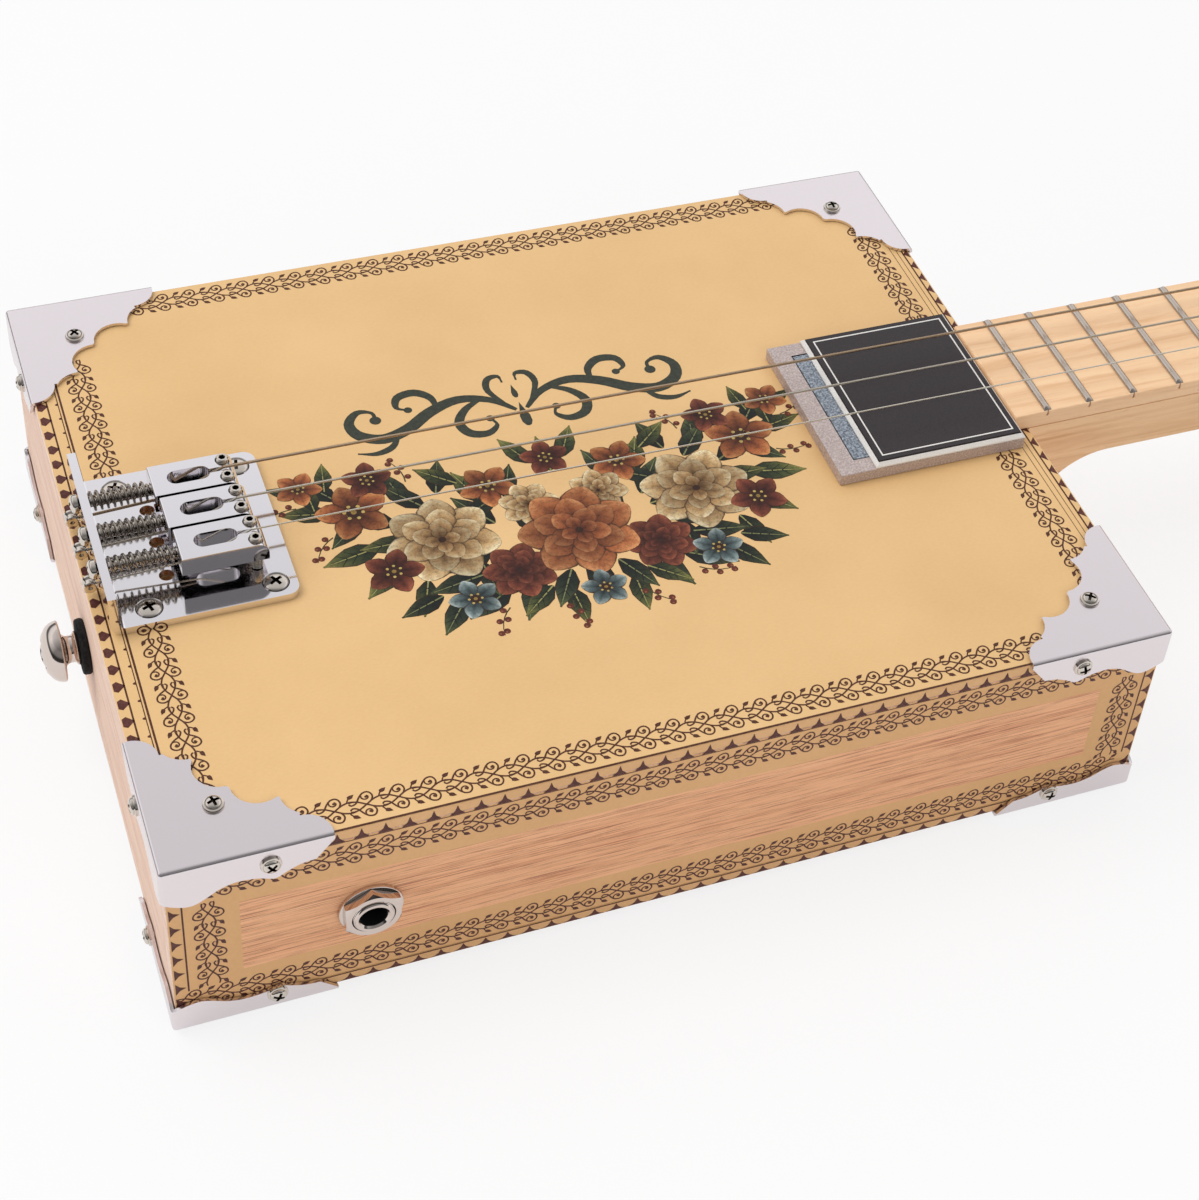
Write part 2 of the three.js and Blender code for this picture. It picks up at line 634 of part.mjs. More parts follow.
function makeBridgePlate() {
  const wallFront = PLATE_WALL_X + PLATE_WALL_THICK;
  const under = PLATE_TOP - PLATE_SHEET;
  const outerRadius = PLATE_BEND_RADIUS + PLATE_SHEET;
  const bend = PLATE_BEND_RADIUS;
  const top = PLATE_TOP + PLATE_WALL_HEIGHT;
  const profile = [
    ...arc(PLATE_WALL_X + outerRadius, under + outerRadius, outerRadius, 180, 270, 5),
    [PLATE_FRONT_X, under],
    [PLATE_FRONT_X, PLATE_TOP],
    ...arc(wallFront + bend, PLATE_TOP + bend, bend, 270, 180, 4),
    [wallFront, top],
    [PLATE_WALL_X, top],
  ];
  const corner = PLATE_CORNER_RADIUS;
  const front = PLATE_FRONT_X - corner;
  const side = PLATE_WIDTH / 2;
  const plan = [
    [PLATE_WALL_X - OVERRUN, -side],
    ...arc(front, -side + corner, corner, -90, 0, 4),
    ...arc(front, side - corner, corner, 0, 90, 4),
    [PLATE_WALL_X - OVERRUN, side],
  ];
  const plate = across(profile, PLATE_WIDTH).intersect(upright(plan, under - OVERRUN, top + OVERRUN));
  const cuts = [];
  const wallStart = PLATE_WALL_X - OVERRUN;
  const wallDepth = PLATE_WALL_THICK + PLATE_BEND_RADIUS + 2 * OVERRUN;
  const screwHeight = PLATE_TOP + INTONATION_HEIGHT;
  const screwHole = INTONATION_RADIUS + CLEARANCE;
  for (let index = 0; index < STRING_COUNT; index += 1) {
    const y = stringY(index);
    const stringHole = STRING_RADII[index] + CLEARANCE;
    const through = [STRING_HOLE_X, y, under - OVERRUN];
    cuts.push(bar(STRING_HOLE_RADIUS, PLATE_SHEET + 2 * OVERRUN, through, [0, 0, 1], PLATE_HOLE_SIDES));
    cuts.push(bar(screwHole, wallDepth, [wallStart, y, screwHeight], [1, 0, 0], PLATE_HOLE_SIDES));
    cuts.push(bar(stringHole, wallDepth, [wallStart, y, PLATE_TOP + BALL_HEIGHT], [1, 0, 0], TINY_SIDES));
  }
  const shank = BRIDGE_SHANK_RADIUS + CLEARANCE;
  const head = BRIDGE_HEAD_RADIUS + CLEARANCE;
  const cone = BRIDGE_HEAD_CONE + CLEARANCE;
  const low = -PLATE_SHEET - OVERRUN;
  const countersink = [[0, low], [shank, low], [shank, -cone], [head, 0], [head, OVERRUN], [0, OVERRUN]];
  for (const [x, y] of bridgeScrewPlaces()) {
    cuts.push(turned(countersink, [x, y, PLATE_TOP], [0, 0, 1], PLATE_HOLE_SIDES));
  }
  return piece("bridge_plate", plate.subtract(joined(cuts)), CHROME);
}

// A cross cut for the head of a screw, centred at the origin, its floor at the given depth below.
function crossCut(width, reach, depth) {
  const half = width / 2;
  return joined([
    boxBetween([-reach, -half, -depth], [reach, half, OVERRUN]),
    boxBetween([-half, -reach, -depth], [half, reach, OVERRUN]),
  ]);
}

function makeBridgeScrews() {
  const bottom = -BRIDGE_SHANK_LENGTH;
  const profile = [
    [0, bottom], [BRIDGE_SHANK_RADIUS, bottom], [BRIDGE_SHANK_RADIUS, -BRIDGE_HEAD_CONE],
    [BRIDGE_HEAD_RADIUS, 0], ...domeProfile(BRIDGE_HEAD_RADIUS, BRIDGE_HEAD_DOME, 0, 2).slice(1),
  ];
  const reach = BRIDGE_HEAD_RADIUS * BRIDGE_SLOT_REACH_SHARE;
  const cut = crossCut(BRIDGE_SLOT_WIDTH, reach, BRIDGE_SLOT_DEPTH - BRIDGE_HEAD_DOME);
  const solid = turned(profile, [0, 0, 0], [0, 0, 1], PLATE_HOLE_SIDES).subtract(cut);
  return bridgeScrewPlaces().map(([x, y], index) => {
    return placed(piece(`bridge_screw_${index + 1}`, solid, CHROME), x, y, PLATE_TOP);
  });
}

// A string bends where it comes out from under the saddle's back wall.
const underBendZ = (index) => SADDLE_UNDER - CLEARANCE - STRING_RADII[index];
const underBendX = (index) => {
  return saddleRear(index) + SADDLE_SLOT_START + CLEARANCE + 2 * STRING_RADII[index];
};

// Heights of a string's centre, over the saddle's crest and in the nut
const crestZ = (index) => SADDLE_TOP + STRING_RADII[index];
const nutZ = (index) => FRETBOARD_TOP + FRET_HEIGHT + NUT_ACTION + STRING_RADII[index];

// How far a string falls over a length, between the saddle and the nut.
function stringFall(index, length) {
  const span = NUT_X - saddleRear(index) - SADDLE_CREST;
  return ((crestZ(index) - nutZ(index)) * length) / span;
}

// A V groove under the string between two points of x and z, wide enough to clear it.
function grooveUnder(index, from, to) {
  const depth = (STRING_RADII[index] + CLEARANCE) * Math.SQRT2;
  const rise = SADDLE_THICK;
  const wedge = shapeOf([[0, -depth], [depth + rise, rise], [-depth - rise, rise]]);
  const start = new THREE.Vector3(from[0], 0, from[1]);
  const end = new THREE.Vector3(to[0], 0, to[1]);
  const forward = end.clone().sub(start);
  const length = forward.length();
  forward.normalize();
  const side = new THREE.Vector3(0, 1, 0);
  const up = forward.clone().cross(side);
  const turn = new THREE.Matrix4().makeBasis(side, up, forward);
  const geometry = new THREE.ExtrudeGeometry(wedge, { depth: length, bevelEnabled: false });
  return solidFrom(geometry.applyMatrix4(turn).translate(start.x, 0, start.z));
}

// A saddle with its rear face at x 0, its middle at y 0 and heights as on the bridge.
function saddleSolid(index) {
  const edge = SADDLE_EDGE_RADIUS;
  const nose = SADDLE_LENGTH - SADDLE_CREST;
  const profile = [
    [0, SADDLE_UNDER],
    [SADDLE_LENGTH, SADDLE_UNDER],
    ...arc(SADDLE_CREST, SADDLE_TOP - nose, nose, 0, 90, 5),
    ...arc(edge, SADDLE_TOP - edge, edge, 90, 180, 2),
  ];
  const slotRadius = SADDLE_SLOT_WIDTH / 2;
  const slot = upright([
    ...arc(SADDLE_SLOT_END - slotRadius, 0, slotRadius, -90, 90, 6),
    ...arc(SADDLE_SLOT_START + slotRadius, 0, slotRadius, 90, 270, 6),
  ], SADDLE_UNDER - OVERRUN, SADDLE_TOP + OVERRUN);
  const rear = saddleRear(index);
  const bend = [underBendX(index) - rear, underBendZ(index)];
  const crest = [SADDLE_CREST, crestZ(index)];
  const beyond = [SADDLE_LENGTH + OVERRUN, crestZ(index) - stringFall(index, nose + OVERRUN)];
  const cuts = [
    slot,
    grooveUnder(index, bend, crest),
    grooveUnder(index, crest, beyond),
    bar(
      INTONATION_RADIUS + CLEARANCE, SADDLE_SLOT_START + slotRadius + OVERRUN,
      [-OVERRUN, 0, PLATE_TOP + INTONATION_HEIGHT], [1, 0, 0],
    ),
  ];
  for (const side of [-1, 1]) {
    cuts.push(bar(
      LIFT_SCREW_RADIUS + LIFT_SCREW_GAP, SADDLE_THICK + 2 * OVERRUN,
      [LIFT_SCREW_FROM_REAR, side * LIFT_SCREW_Y, SADDLE_UNDER - OVERRUN], [0, 0, 1],
    ));
  }
  return across(profile, SADDLE_WIDTH).subtract(joined(cuts));
}

function makeSaddle(index) {
  const mesh = piece(`saddle_${index + 1}`, saddleSolid(index), CHROME);
  return placed(mesh, saddleRear(index), stringY(index), 0);
}

// A grub screw with a hexagon socket, standing on the plate.
function makeLiftScrews(index) {
  const socket = bar(
    LIFT_SOCKET_RADIUS, LIFT_SOCKET_DEPTH + OVERRUN,
    [0, 0, LIFT_SCREW_LENGTH - LIFT_SOCKET_DEPTH], [0, 0, 1], 6,
  );
  const solid = bar(LIFT_SCREW_RADIUS, LIFT_SCREW_LENGTH, [0, 0, 0], [0, 0, 1]).subtract(socket);
  return ["near", "far"].map((name, place) => {
    const mesh = piece(`height_screw_${index + 1}_${name}`, solid, STEEL);
    const y = stringY(index) + (2 * place - 1) * LIFT_SCREW_Y;
    return placed(mesh, saddleRear(index) + LIFT_SCREW_FROM_REAR, y, PLATE_TOP + CLEARANCE);
  });
}

function makeIntonationScrew(index) {
  const headBack = PLATE_WALL_X - CLEARANCE - INTONATION_HEAD_LENGTH;
  const length = saddleRear(index) + INTONATION_REACH - headBack;
  const dome = INTONATION_HEAD_LENGTH * INTONATION_DOME_SHARE;
  const profile = [
    ...domeProfile(INTONATION_HEAD_RADIUS, -dome, dome, 2).reverse(),
    [INTONATION_HEAD_RADIUS, INTONATION_HEAD_LENGTH],
    [INTONATION_RADIUS, INTONATION_HEAD_LENGTH],
    [INTONATION_RADIUS, length],
    [0, length],
  ];
  const reach = INTONATION_HEAD_RADIUS * INTONATION_SLOT_REACH_SHARE;
  const cut = crossCut(INTONATION_SLOT_WIDTH, reach, INTONATION_SLOT_DEPTH);
  const slot = solidFrom(geometryFrom(cut).rotateY(-Math.PI / 2));
  const solid = turned(profile, [0, 0, 0], [1, 0, 0], SMALL_SIDES).subtract(slot);
  const mesh = piece(`intonation_screw_${index + 1}`, solid, STEEL);
  return placed(mesh, headBack, stringY(index), PLATE_TOP + INTONATION_HEIGHT);
}

// A compression spring round the intonation screw, between the plate's wall and the saddle.
function makeSaddleSpring(index) {
  const start = PLATE_WALL_X + PLATE_WALL_THICK + CLEARANCE + SPRING_WIRE_RADIUS;
  const end = saddleRear(index) - CLEARANCE - SPRING_WIRE_RADIUS;
  const steps = SPRING_CURLS * SPRING_STEPS;
  const points = Array.from({ length: steps + 1 }, (_, step) => {
    const angle = (2 * Math.PI * step) / SPRING_STEPS;
    return new THREE.Vector3(
      ((end - start) * step) / steps,
      SPRING_RADIUS * Math.cos(angle),
      SPRING_RADIUS * Math.sin(angle),
    );
  });
  const gap = leastGap(points, SPRING_STEPS, SPRING_WIRE_RADIUS);
  console.log(`saddle_spring_${index + 1}: least gap to itself ${gap.toFixed(2)} mm`);
  const wire = tube(points, SPRING_WIRE_RADIUS, SPRING_SIDES);
  const mesh = piece(`saddle_spring_${index + 1}`, wire, STEEL);
  return placed(mesh, start, stringY(index), PLATE_TOP + INTONATION_HEIGHT);
}

// Strings

// Which post each string runs to: its place, and the side of the head that its tuner is on
const POST_PLACES = [
  { x: POST_BACK_X, y: POST_Y, side: 1 },
  { x: POST_FRONT_X, y: POST_Y, side: 1 },
  { x: POST_BACK_X, y: -POST_Y, side: -1 },
];

// The string's turns round its post, from the top of the waist down.
function windingPoints(index, radius) {
  const { x, y, side } = POST_PLACES[index];
  const around = POST_WAIST_RADIUS + CLEARANCE + radius;
  const pitch = 2 * radius + WINDING_GAP;
  const top = HEAD_FACE + POST_WAIST_END - radius;
  const steps = WINDING_TURNS * WINDING_STEPS;
  return Array.from({ length: steps + 1 }, (_, step) => {
    const turn = step / WINDING_STEPS;
    const angle = -side * (Math.PI / 2) + side * 2 * Math.PI * turn;
    const point = new THREE.Vector3(around * Math.cos(angle), around * Math.sin(angle), -pitch * turn);
    return point.add(new THREE.Vector3(x, y, top));
  });
}

function makeString(index) {
  const radius = STRING_RADII[index];
  const y = stringY(index);
  const ballX = PLATE_WALL_X - CLEARANCE - BALL_RADIUS;
  const ballZ = PLATE_TOP + BALL_HEIGHT;
  const wallFront = PLATE_WALL_X + PLATE_WALL_THICK;
  const winding = windingPoints(index, radius);
  const nutFall = stringFall(index, NUT_THICK + OVERRUN);
  const points = [
    new THREE.Vector3(ballX, y, ballZ),
    new THREE.Vector3(wallFront + OVERRUN, y, ballZ),
    new THREE.Vector3(underBendX(index), y, underBendZ(index)),
    new THREE.Vector3(saddleRear(index) + SADDLE_CREST, y, crestZ(index)),
    new THREE.Vector3(NUT_BACK_X + OVERRUN, y, nutZ(index) - nutFall),
    ...winding,
  ];
  const gap = leastGap(winding, WINDING_STEPS, radius);
  console.log(`string_${index + 1}: least gap between its turns on the post ${gap.toFixed(2)} mm`);
  const ball = bar(BALL_RADIUS, BALL_LENGTH, [ballX, y - BALL_LENGTH / 2, ballZ], [0, 1, 0]);
  const solid = joined([tube(points, radius, STRING_SIDES), ball]);
  return piece(`string_${index + 1}`, solid, index === STRING_COUNT - 1 ? STEEL : BRONZE);
}

// Pickup

function makePickup() {
  const side = PICKUP_WIDTH / 2;
  const baseTop = LID_TOP + GLUE_GAP + PICKUP_BASE_THICK;
  const end = PICKUP_START_X + PICKUP_LENGTH;
  const coverStart = end - PICKUP_COVER_LENGTH;
  const stripX = PICKUP_START_X + PICKUP_STRIP_INSET;
  const stripSide = PICKUP_STRIP_LENGTH / 2;
  const stripEnd = coverStart - PICKUP_STRIP_FRONT_GAP + PICKUP_STRIP_INSET;
  const floor = baseTop - PICKUP_STRIP_DEPTH;
  const slit = PICKUP_STRIP_SLIT;
  const base = boxBetween([PICKUP_START_X, -side, LID_TOP + GLUE_GAP], [end, side, baseTop]);
  const seat = boxBetween([stripX, -stripSide, floor], [stripEnd, stripSide, baseTop + OVERRUN]);
  const strip = boxBetween(
    [stripX + slit, -stripSide + slit, floor + GLUE_GAP], [stripEnd - slit, stripSide - slit, baseTop],
  );
  const coverLow = baseTop + GLUE_GAP;
  const cover = boxBetween([coverStart, -side, coverLow], [end, side, coverLow + PICKUP_COVER_THICK]);
  return [
    piece("pickup_base", base.subtract(seat), GREY_PLATE),
    piece("pickup_strip", strip, GREY_STRIP),
    piece("pickup_cover", cover, BLACK),
  ];
}

// Neck

// The neck seen from the side: beam, heel with its swept front, shaft and dropped head.
function neckSide() {
  const beamTop = LID_UNDER - GLUE_GAP;
  const beamStart = TAIL_X + SIDE_BOARD + GLUE_GAP;
  const heelBack = HEAD_X + GLUE_GAP;
  const heelFront = heelBack + HEEL_THICK;
  const sweep = HEEL_SWEEP_RADIUS;
  return [
    [beamStart, NECK_BOTTOM],
    [heelBack, NECK_BOTTOM],
    [heelBack, HEEL_BOTTOM_Z],
    [heelFront, HEEL_BOTTOM_Z],
    ...arc(heelFront + sweep, NECK_BOTTOM - sweep, sweep, 180, 90, 8),
    [HEAD_END_X, NECK_BOTTOM],
    [HEAD_END_X, HEAD_FACE],
    [HEAD_START_X + HEAD_STEP_LENGTH, HEAD_FACE],
    [HEAD_START_X, LID_TOP],
    [heelBack, LID_TOP],
    [heelBack, beamTop],
    [beamStart, beamTop],
  ];
}

// The neck seen from above: straight to the nut, then a flared paddle with a bowed tip.
function neckPlan() {
  const half = NECK_WIDTH / 2;
  const wide = HEAD_WIDTH / 2;
  const tip = HEAD_TIP_WIDTH / 2;
  const flareSteps = 6;
  const bowSteps = 6;
  const flare = Array.from({ length: flareSteps + 1 }, (_, step) => {
    const share = step / flareSteps;
    const ease = (1 - Math.cos(Math.PI * share)) / 2;
    return [HEAD_START_X + HEAD_FLARE_LENGTH * share, half + (wide - half) * ease];
  });
  const bow = Array.from({ length: bowSteps + 1 }, (_, step) => {
    const share = step / bowSteps;
    const y = -tip + 2 * tip * share;
    return [HEAD_END_X - HEAD_TIP_BOW * (y / tip) ** 2, y];
  });
  const start = TAIL_X - OVERRUN;
  const near = flare.map(([x, y]) => [x, -y]);
  return [[start, -half], ...near, ...bow, ...flare.reverse(), [start, half]];
}

// What rounding takes off the lower edges of the shaft. The edges are square near the heel and the
// head, and the rounding grows and fades over a short stretch.
function neckEdgeCuts() {
  const radius = NECK_EDGE_RADIUS;
  const half = NECK_WIDTH / 2;
  const outside = half + OVERRUN;
  const under = NECK_BOTTOM - OVERRUN;
  const full = NECK_EDGE_START_X + NECK_EDGE_FADE;
  const fading = HEAD_START_X - NECK_EDGE_FADE;
  return joined([-1, 1].flatMap((side) => {
    const round = arc(half - radius, NECK_BOTTOM + radius, radius, -90, 0, 5);
    const points = [...round, [outside, NECK_BOTTOM + radius], [outside, under], [half - radius, under]];
    const section = points.map(([y, z]) => [side * y, z]);
    const shrinkAt = (end) => (point) => {
      if (Math.abs(point[0] - end) > GLUE_GAP) return;
      point[1] = side * half + (point[1] - side * half) * NECK_EDGE_LEAST;
      point[2] = NECK_BOTTOM + (point[2] - NECK_BOTTOM) * NECK_EDGE_LEAST;
    };
    return [
      lengthwise(section, NECK_EDGE_START_X, full).warp(shrinkAt(NECK_EDGE_START_X)),
      lengthwise(section, full, fading),
      lengthwise(section, fading, HEAD_START_X).warp(shrinkAt(HEAD_START_X)),
    ];
  }));
}

// Holes in the head for the posts and for the tuners' screws.
function headHoles() {
  const holes = [];
  for (const { x, y, side } of POST_PLACES) {
    const depth = NECK_THICK + 2 * OVERRUN;
    holes.push(bar(POST_RADIUS + CLEARANCE, depth, [x, y, NECK_BOTTOM - OVERRUN], [0, 0, 1]));
    for (const screwX of tunerScrewXs()) {
      const start = [x + side * screwX, y, NECK_BOTTOM - OVERRUN];
      const pilotDepth = TUNER_SCREW_LENGTH + OVERRUN + CLEARANCE;
      holes.push(bar(TUNER_SCREW_RADIUS + CLEARANCE, pilotDepth, start, [0, 0, 1], TINY_SIDES));
    }
  }
  return joined(holes);
}

function makeNeck() {
  const plan = upright(neckPlan(), HEEL_BOTTOM_Z - OVERRUN, LID_TOP + OVERRUN);
  const solid = across(neckSide(), HEAD_WIDTH + 2 * OVERRUN).intersect(plan);
  return piece("neck", solid.subtract(joined([neckEdgeCuts(), headHoles()])), MAPLE);
}

// Where the frets lie, from the nut on, as many as the board has room for.
function fretPlaces() {
  const places = [];
  let place = NUT_X - SCALE_LENGTH * (1 - 2 ** (-1 / SEMITONES));
  while (place > FRETBOARD_START_X + FRET_WIDTH) {
    places.push(place);
    place = SCALE_START_X + (place - SCALE_START_X) * 2 ** (-1 / SEMITONES);
  }
  return places;
}

function makeFretboard() {
  const half = NECK_WIDTH / 2;
  const low = LID_TOP + GLUE_GAP;
  const board = boxBetween([FRETBOARD_START_X, -half, low], [NUT_X - CLEARANCE, half, FRETBOARD_TOP]);
  const crown = arc(0, 0, 1, 0, 180, 6).map(([x, z]) => {
    return [(x * FRET_WIDTH) / 2, FRETBOARD_TOP + z * FRET_HEIGHT];
  });
  const seat = FRETBOARD_TOP - FRET_SEAT;
  const section = [[-FRET_WIDTH / 2, seat], [FRET_WIDTH / 2, seat], ...crown];
  const fret = geometryFrom(across(section, NECK_WIDTH - 2 * FRET_END_INSET));
  const frets = fretPlaces().map((x) => solidFrom(fret.clone().translate(x, 0, 0)));
  return piece("fretboard", joined([board, ...frets]), MAPLE);
}

function makeNut() {
  const under = LID_TOP + GLUE_GAP;
  const top = FRETBOARD_TOP + NUT_HEIGHT;
  const round = NUT_TOP_RADIUS;
  const profile = [
    [NUT_X, under],
    [NUT_BACK_X, under],
    ...arc(NUT_BACK_X - round, top - round, round, 0, 90, 3),
    [NUT_X, top],
  ];
  const slots = Array.from({ length: STRING_COUNT }, (_, index) => {
    const reach = STRING_RADII[index] + CLEARANCE;
    const y = stringY(index);
    const floor = nutZ(index) - reach;
    const low = [NUT_X - OVERRUN, y - reach, floor];
    return boxBetween(low, [NUT_BACK_X + OVERRUN, y + reach, top + OVERRUN]);
  });
  return piece("nut", across(profile, NECK_WIDTH).subtract(joined(slots)), BONE);
}

// Tuners, each about its own post, with the head's underside at z 0 and its key towards +y

const tunerScrewXs = () => {
  const back = -TUNER_PLATE_BACK + TUNER_SCREW_INSET;
  return [back, back + TUNER_PLATE_LENGTH - 2 * TUNER_SCREW_INSET];
};

// Half thickness of a tooth, at a height over the pitch line.
function toothHalf(height) {
  const atPitch = (TOOTH_PITCH / 2 - CLEARANCE) / 2;
  return atPitch - height * Math.tan(radians(TOOTH_FLANK_ANGLE));
}

function tunerPlateSolid() {
  const low = -TUNER_UNDER;
  const side = TUNER_PLATE_WIDTH / 2;
  const back = -TUNER_PLATE_BACK;
  const front = back + TUNER_PLATE_LENGTH;
  const corner = TUNER_PLATE_CORNER;
  const outline = [
    ...arc(front - corner, side - corner, corner, 0, 90, 2),
    ...arc(back + corner, side - corner, corner, 90, 180, 2),
    ...arc(back + corner, -side + corner, corner, 180, 270, 2),
    ...arc(front - corner, -side + corner, corner, 270, 360, 2),
  ];
  const plate = upright(outline, low, -GLUE_GAP);
  const solids = [plate];
  const earIn = WORM_LENGTH / 2 + WORM_SHOULDER + CLEARANCE;
  const earLow = -WORM_DROP - EAR_BELOW_AXIS;
  for (const y of [-earIn - TUNER_SHEET, earIn]) {
    const half = EAR_WIDTH / 2;
    const high = low + TUNER_SHEET / 2;
    solids.push(boxBetween([WORM_OFFSET - half, y, earLow], [WORM_OFFSET + half, y + TUNER_SHEET, high]));
  }
  const headProfile = [
    [0, -TUNER_SHEET / 2], [TUNER_SCREW_HEAD_RADIUS, -TUNER_SHEET / 2],
    ...domeProfile(TUNER_SCREW_HEAD_RADIUS, TUNER_SCREW_HEAD_HEIGHT, 0, 2),
  ];
  for (const x of tunerScrewXs()) {
    solids.push(turned(headProfile, [x, 0, low], [0, 0, -1], TINY_SIDES));
    solids.push(bar(TUNER_SCREW_RADIUS, TUNER_SCREW_LENGTH - low, [x, 0, low], [0, 0, 1], SHANK_SIDES));
  }
  const postStart = [0, 0, low - OVERRUN];
  const postHole = bar(POST_RADIUS + CLEARANCE, TUNER_SHEET + 2 * OVERRUN, postStart, [0, 0, 1]);
  const shaftReach = earIn + TUNER_SHEET + OVERRUN;
  const shaftStart = [WORM_OFFSET, -shaftReach, -WORM_DROP];
  const shaftHole = bar(KEY_SHAFT_RADIUS + CLEARANCE, 2 * shaftReach, shaftStart, [0, 1, 0], TINY_SIDES);
  return joined(solids).subtract(joined([postHole, shaftHole]));
}

// The worm wheel: its teeth lean with the worm's thread, and a gap faces the worm.
function wheelSolid() {
  const tip = WHEEL_PITCH_RADIUS + TOOTH_ADDENDUM;
  const root = WHEEL_PITCH_RADIUS - TOOTH_DEDENDUM;
  const points = [];
  for (let tooth = 0; tooth < WHEEL_TEETH; tooth += 1) {
    const middle = (2 * Math.PI * (tooth + 1 / 2)) / WHEEL_TEETH;
    const corners = [
      [root, -toothHalf(-TOOTH_DEDENDUM)], [tip, -toothHalf(TOOTH_ADDENDUM)],
      [tip, toothHalf(TOOTH_ADDENDUM)], [root, toothHalf(-TOOTH_DEDENDUM)],
    ];
    for (const [out, along] of corners) {
      points.push([
        out * Math.cos(middle) - along * Math.sin(middle),
        out * Math.sin(middle) + along * Math.cos(middle),
      ]);
    }
  }
  const options = { depth: WHEEL_THICK, bevelEnabled: false };
  const geometry = new THREE.ExtrudeGeometry(shapeOf(points), options).translate(0, 0, -WHEEL_THICK / 2);
  const lead = TOOTH_PITCH / (2 * Math.PI * WORM_PITCH_RADIUS);
  const position = geometry.getAttribute("position");
  const up = new THREE.Vector3(0, 0, 1);
  const point = new THREE.Vector3();
  for (let i = 0; i < position.count; i += 1) {
    point.fromBufferAttribute(position, i);
    point.applyAxisAngle(up, (point.z * lead) / WHEEL_PITCH_RADIUS);
    position.setXYZ(i, point.x, point.y, point.z);
  }
  return solidFrom(geometry.translate(0, 0, -WORM_DROP));
}

function tunerPostSolid() {
  const face = HEAD_FACE - NECK_BOTTOM;
  const bottom = -WORM_DROP - WHEEL_THICK / 2;
  const waist = (POST_WAIST_START + POST_WAIST_END) / 2;
  const chamfer = POST_RADIUS - POST_WAIST_RADIUS;
  const profile = [
    [0, bottom - TUNER_SCREW_HEAD_HEIGHT],
    [TUNER_SCREW_HEAD_RADIUS, bottom - TUNER_SCREW_HEAD_HEIGHT / 2],
    [TUNER_SCREW_HEAD_RADIUS, bottom],
    [POST_RADIUS, bottom],
    [POST_RADIUS, face + POST_WAIST_START - chamfer],
    [POST_WAIST_RADIUS, face + POST_WAIST_START],
    [POST_WAIST_RADIUS, face + POST_WAIST_END],
    [POST_RADIUS, face + POST_WAIST_END + chamfer],
    [POST_RADIUS, face + POST_HEIGHT - chamfer],
    [POST_WAIST_RADIUS, face + POST_HEIGHT],
    [0, face + POST_HEIGHT],
  ];
  const holeStart = [-POST_RADIUS, 0, face + waist];
  const hole = bar(POST_HOLE_RADIUS, 2 * POST_RADIUS, holeStart, [1, 0, 0], TINY_SIDES);
  const post = turned(profile, [0, 0, 0], [0, 0, 1], POST_SIDES).subtract(hole);
  return joined([post, wheelSolid()]);
}

// The worm's thread, a right-handed ridge round the y axis, centred on the origin.
function wormThread() {
  const turns = (WORM_LENGTH - TOOTH_PITCH) / TOOTH_PITCH;
  const steps = Math.ceil(turns * WORM_STEPS);
  const sunk = WORM_ROOT_RADIUS - CLEARANCE;
  const base = toothHalf(sunk - WORM_PITCH_RADIUS);
  const tip = toothHalf(TOOTH_ADDENDUM);
  const section = [[sunk, -base], [WORM_RADIUS, -tip], [WORM_RADIUS, tip], [sunk, base]];
  const points = [];
  const index = [];
  for (let step = 0; step <= steps; step += 1) {
    const turn = turns * (step / steps - 1 / 2);
    const angle = 2 * Math.PI * turn - Math.PI / 2;
    for (const [radius, along] of section) {
      points.push(radius * Math.sin(angle), TOOTH_PITCH * turn + along, radius * Math.cos(angle));
    }
  }
  for (let step = 0; step < steps; step += 1) {
    for (let side = 0; side < 4; side += 1) {
      const a = 4 * step + side;
      const b = 4 * step + ((side + 1) % 4);
      index.push(a, b, b + 4, a, b + 4, a + 4);
    }
  }
  const last = 4 * steps;
  index.push(0, 2, 1, 0, 3, 2, last, last + 1, last + 2, last, last + 2, last + 3);
  const geometry = new THREE.BufferGeometry();
  geometry.setAttribute("position", new THREE.Float32BufferAttribute(points, 3));
  geometry.setIndex(index);
  return solidFrom(geometry);
}

function tunerKeySolid() {
  const shoulder = WORM_LENGTH / 2 + WORM_SHOULDER;
  const earOut = shoulder + CLEARANCE + TUNER_SHEET;
  const neckStart = earOut + KEY_SHAFT_LENGTH;
  const buttonStart = neckStart + KEY_NECK_LENGTH;
  const buttonMiddle = buttonStart + BUTTON_LENGTH / 2 - OVERRUN;
  const core = bar(WORM_ROOT_RADIUS, 2 * shoulder, [0, -shoulder, 0], [0, 1, 0]);
  const tail = earOut + CLEARANCE;
  const shaft = bar(KEY_SHAFT_RADIUS, tail + buttonMiddle, [0, -tail, 0], [0, 1, 0], TINY_SIDES);
  const neck = bar(KEY_NECK_RADIUS, KEY_NECK_LENGTH + OVERRUN, [0, neckStart, 0], [0, 1, 0], TINY_SIDES);
  const oval = new THREE.Shape();
  const bevel = BUTTON_BEVEL;
  oval.absellipse(0, buttonMiddle, BUTTON_WIDTH / 2 - bevel, BUTTON_LENGTH / 2 - bevel, 0, 2 * Math.PI);
  const button = new THREE.ExtrudeGeometry(oval, {
    depth: BUTTON_THICK - 2 * bevel,
    curveSegments: 8,
    bevelSize: bevel,
    bevelThickness: bevel,
    bevelSegments: 1,
  });
  button.translate(0, 0, bevel - BUTTON_THICK / 2);
  return joined([core, wormThread(), shaft, neck, solidFrom(button)]);
}

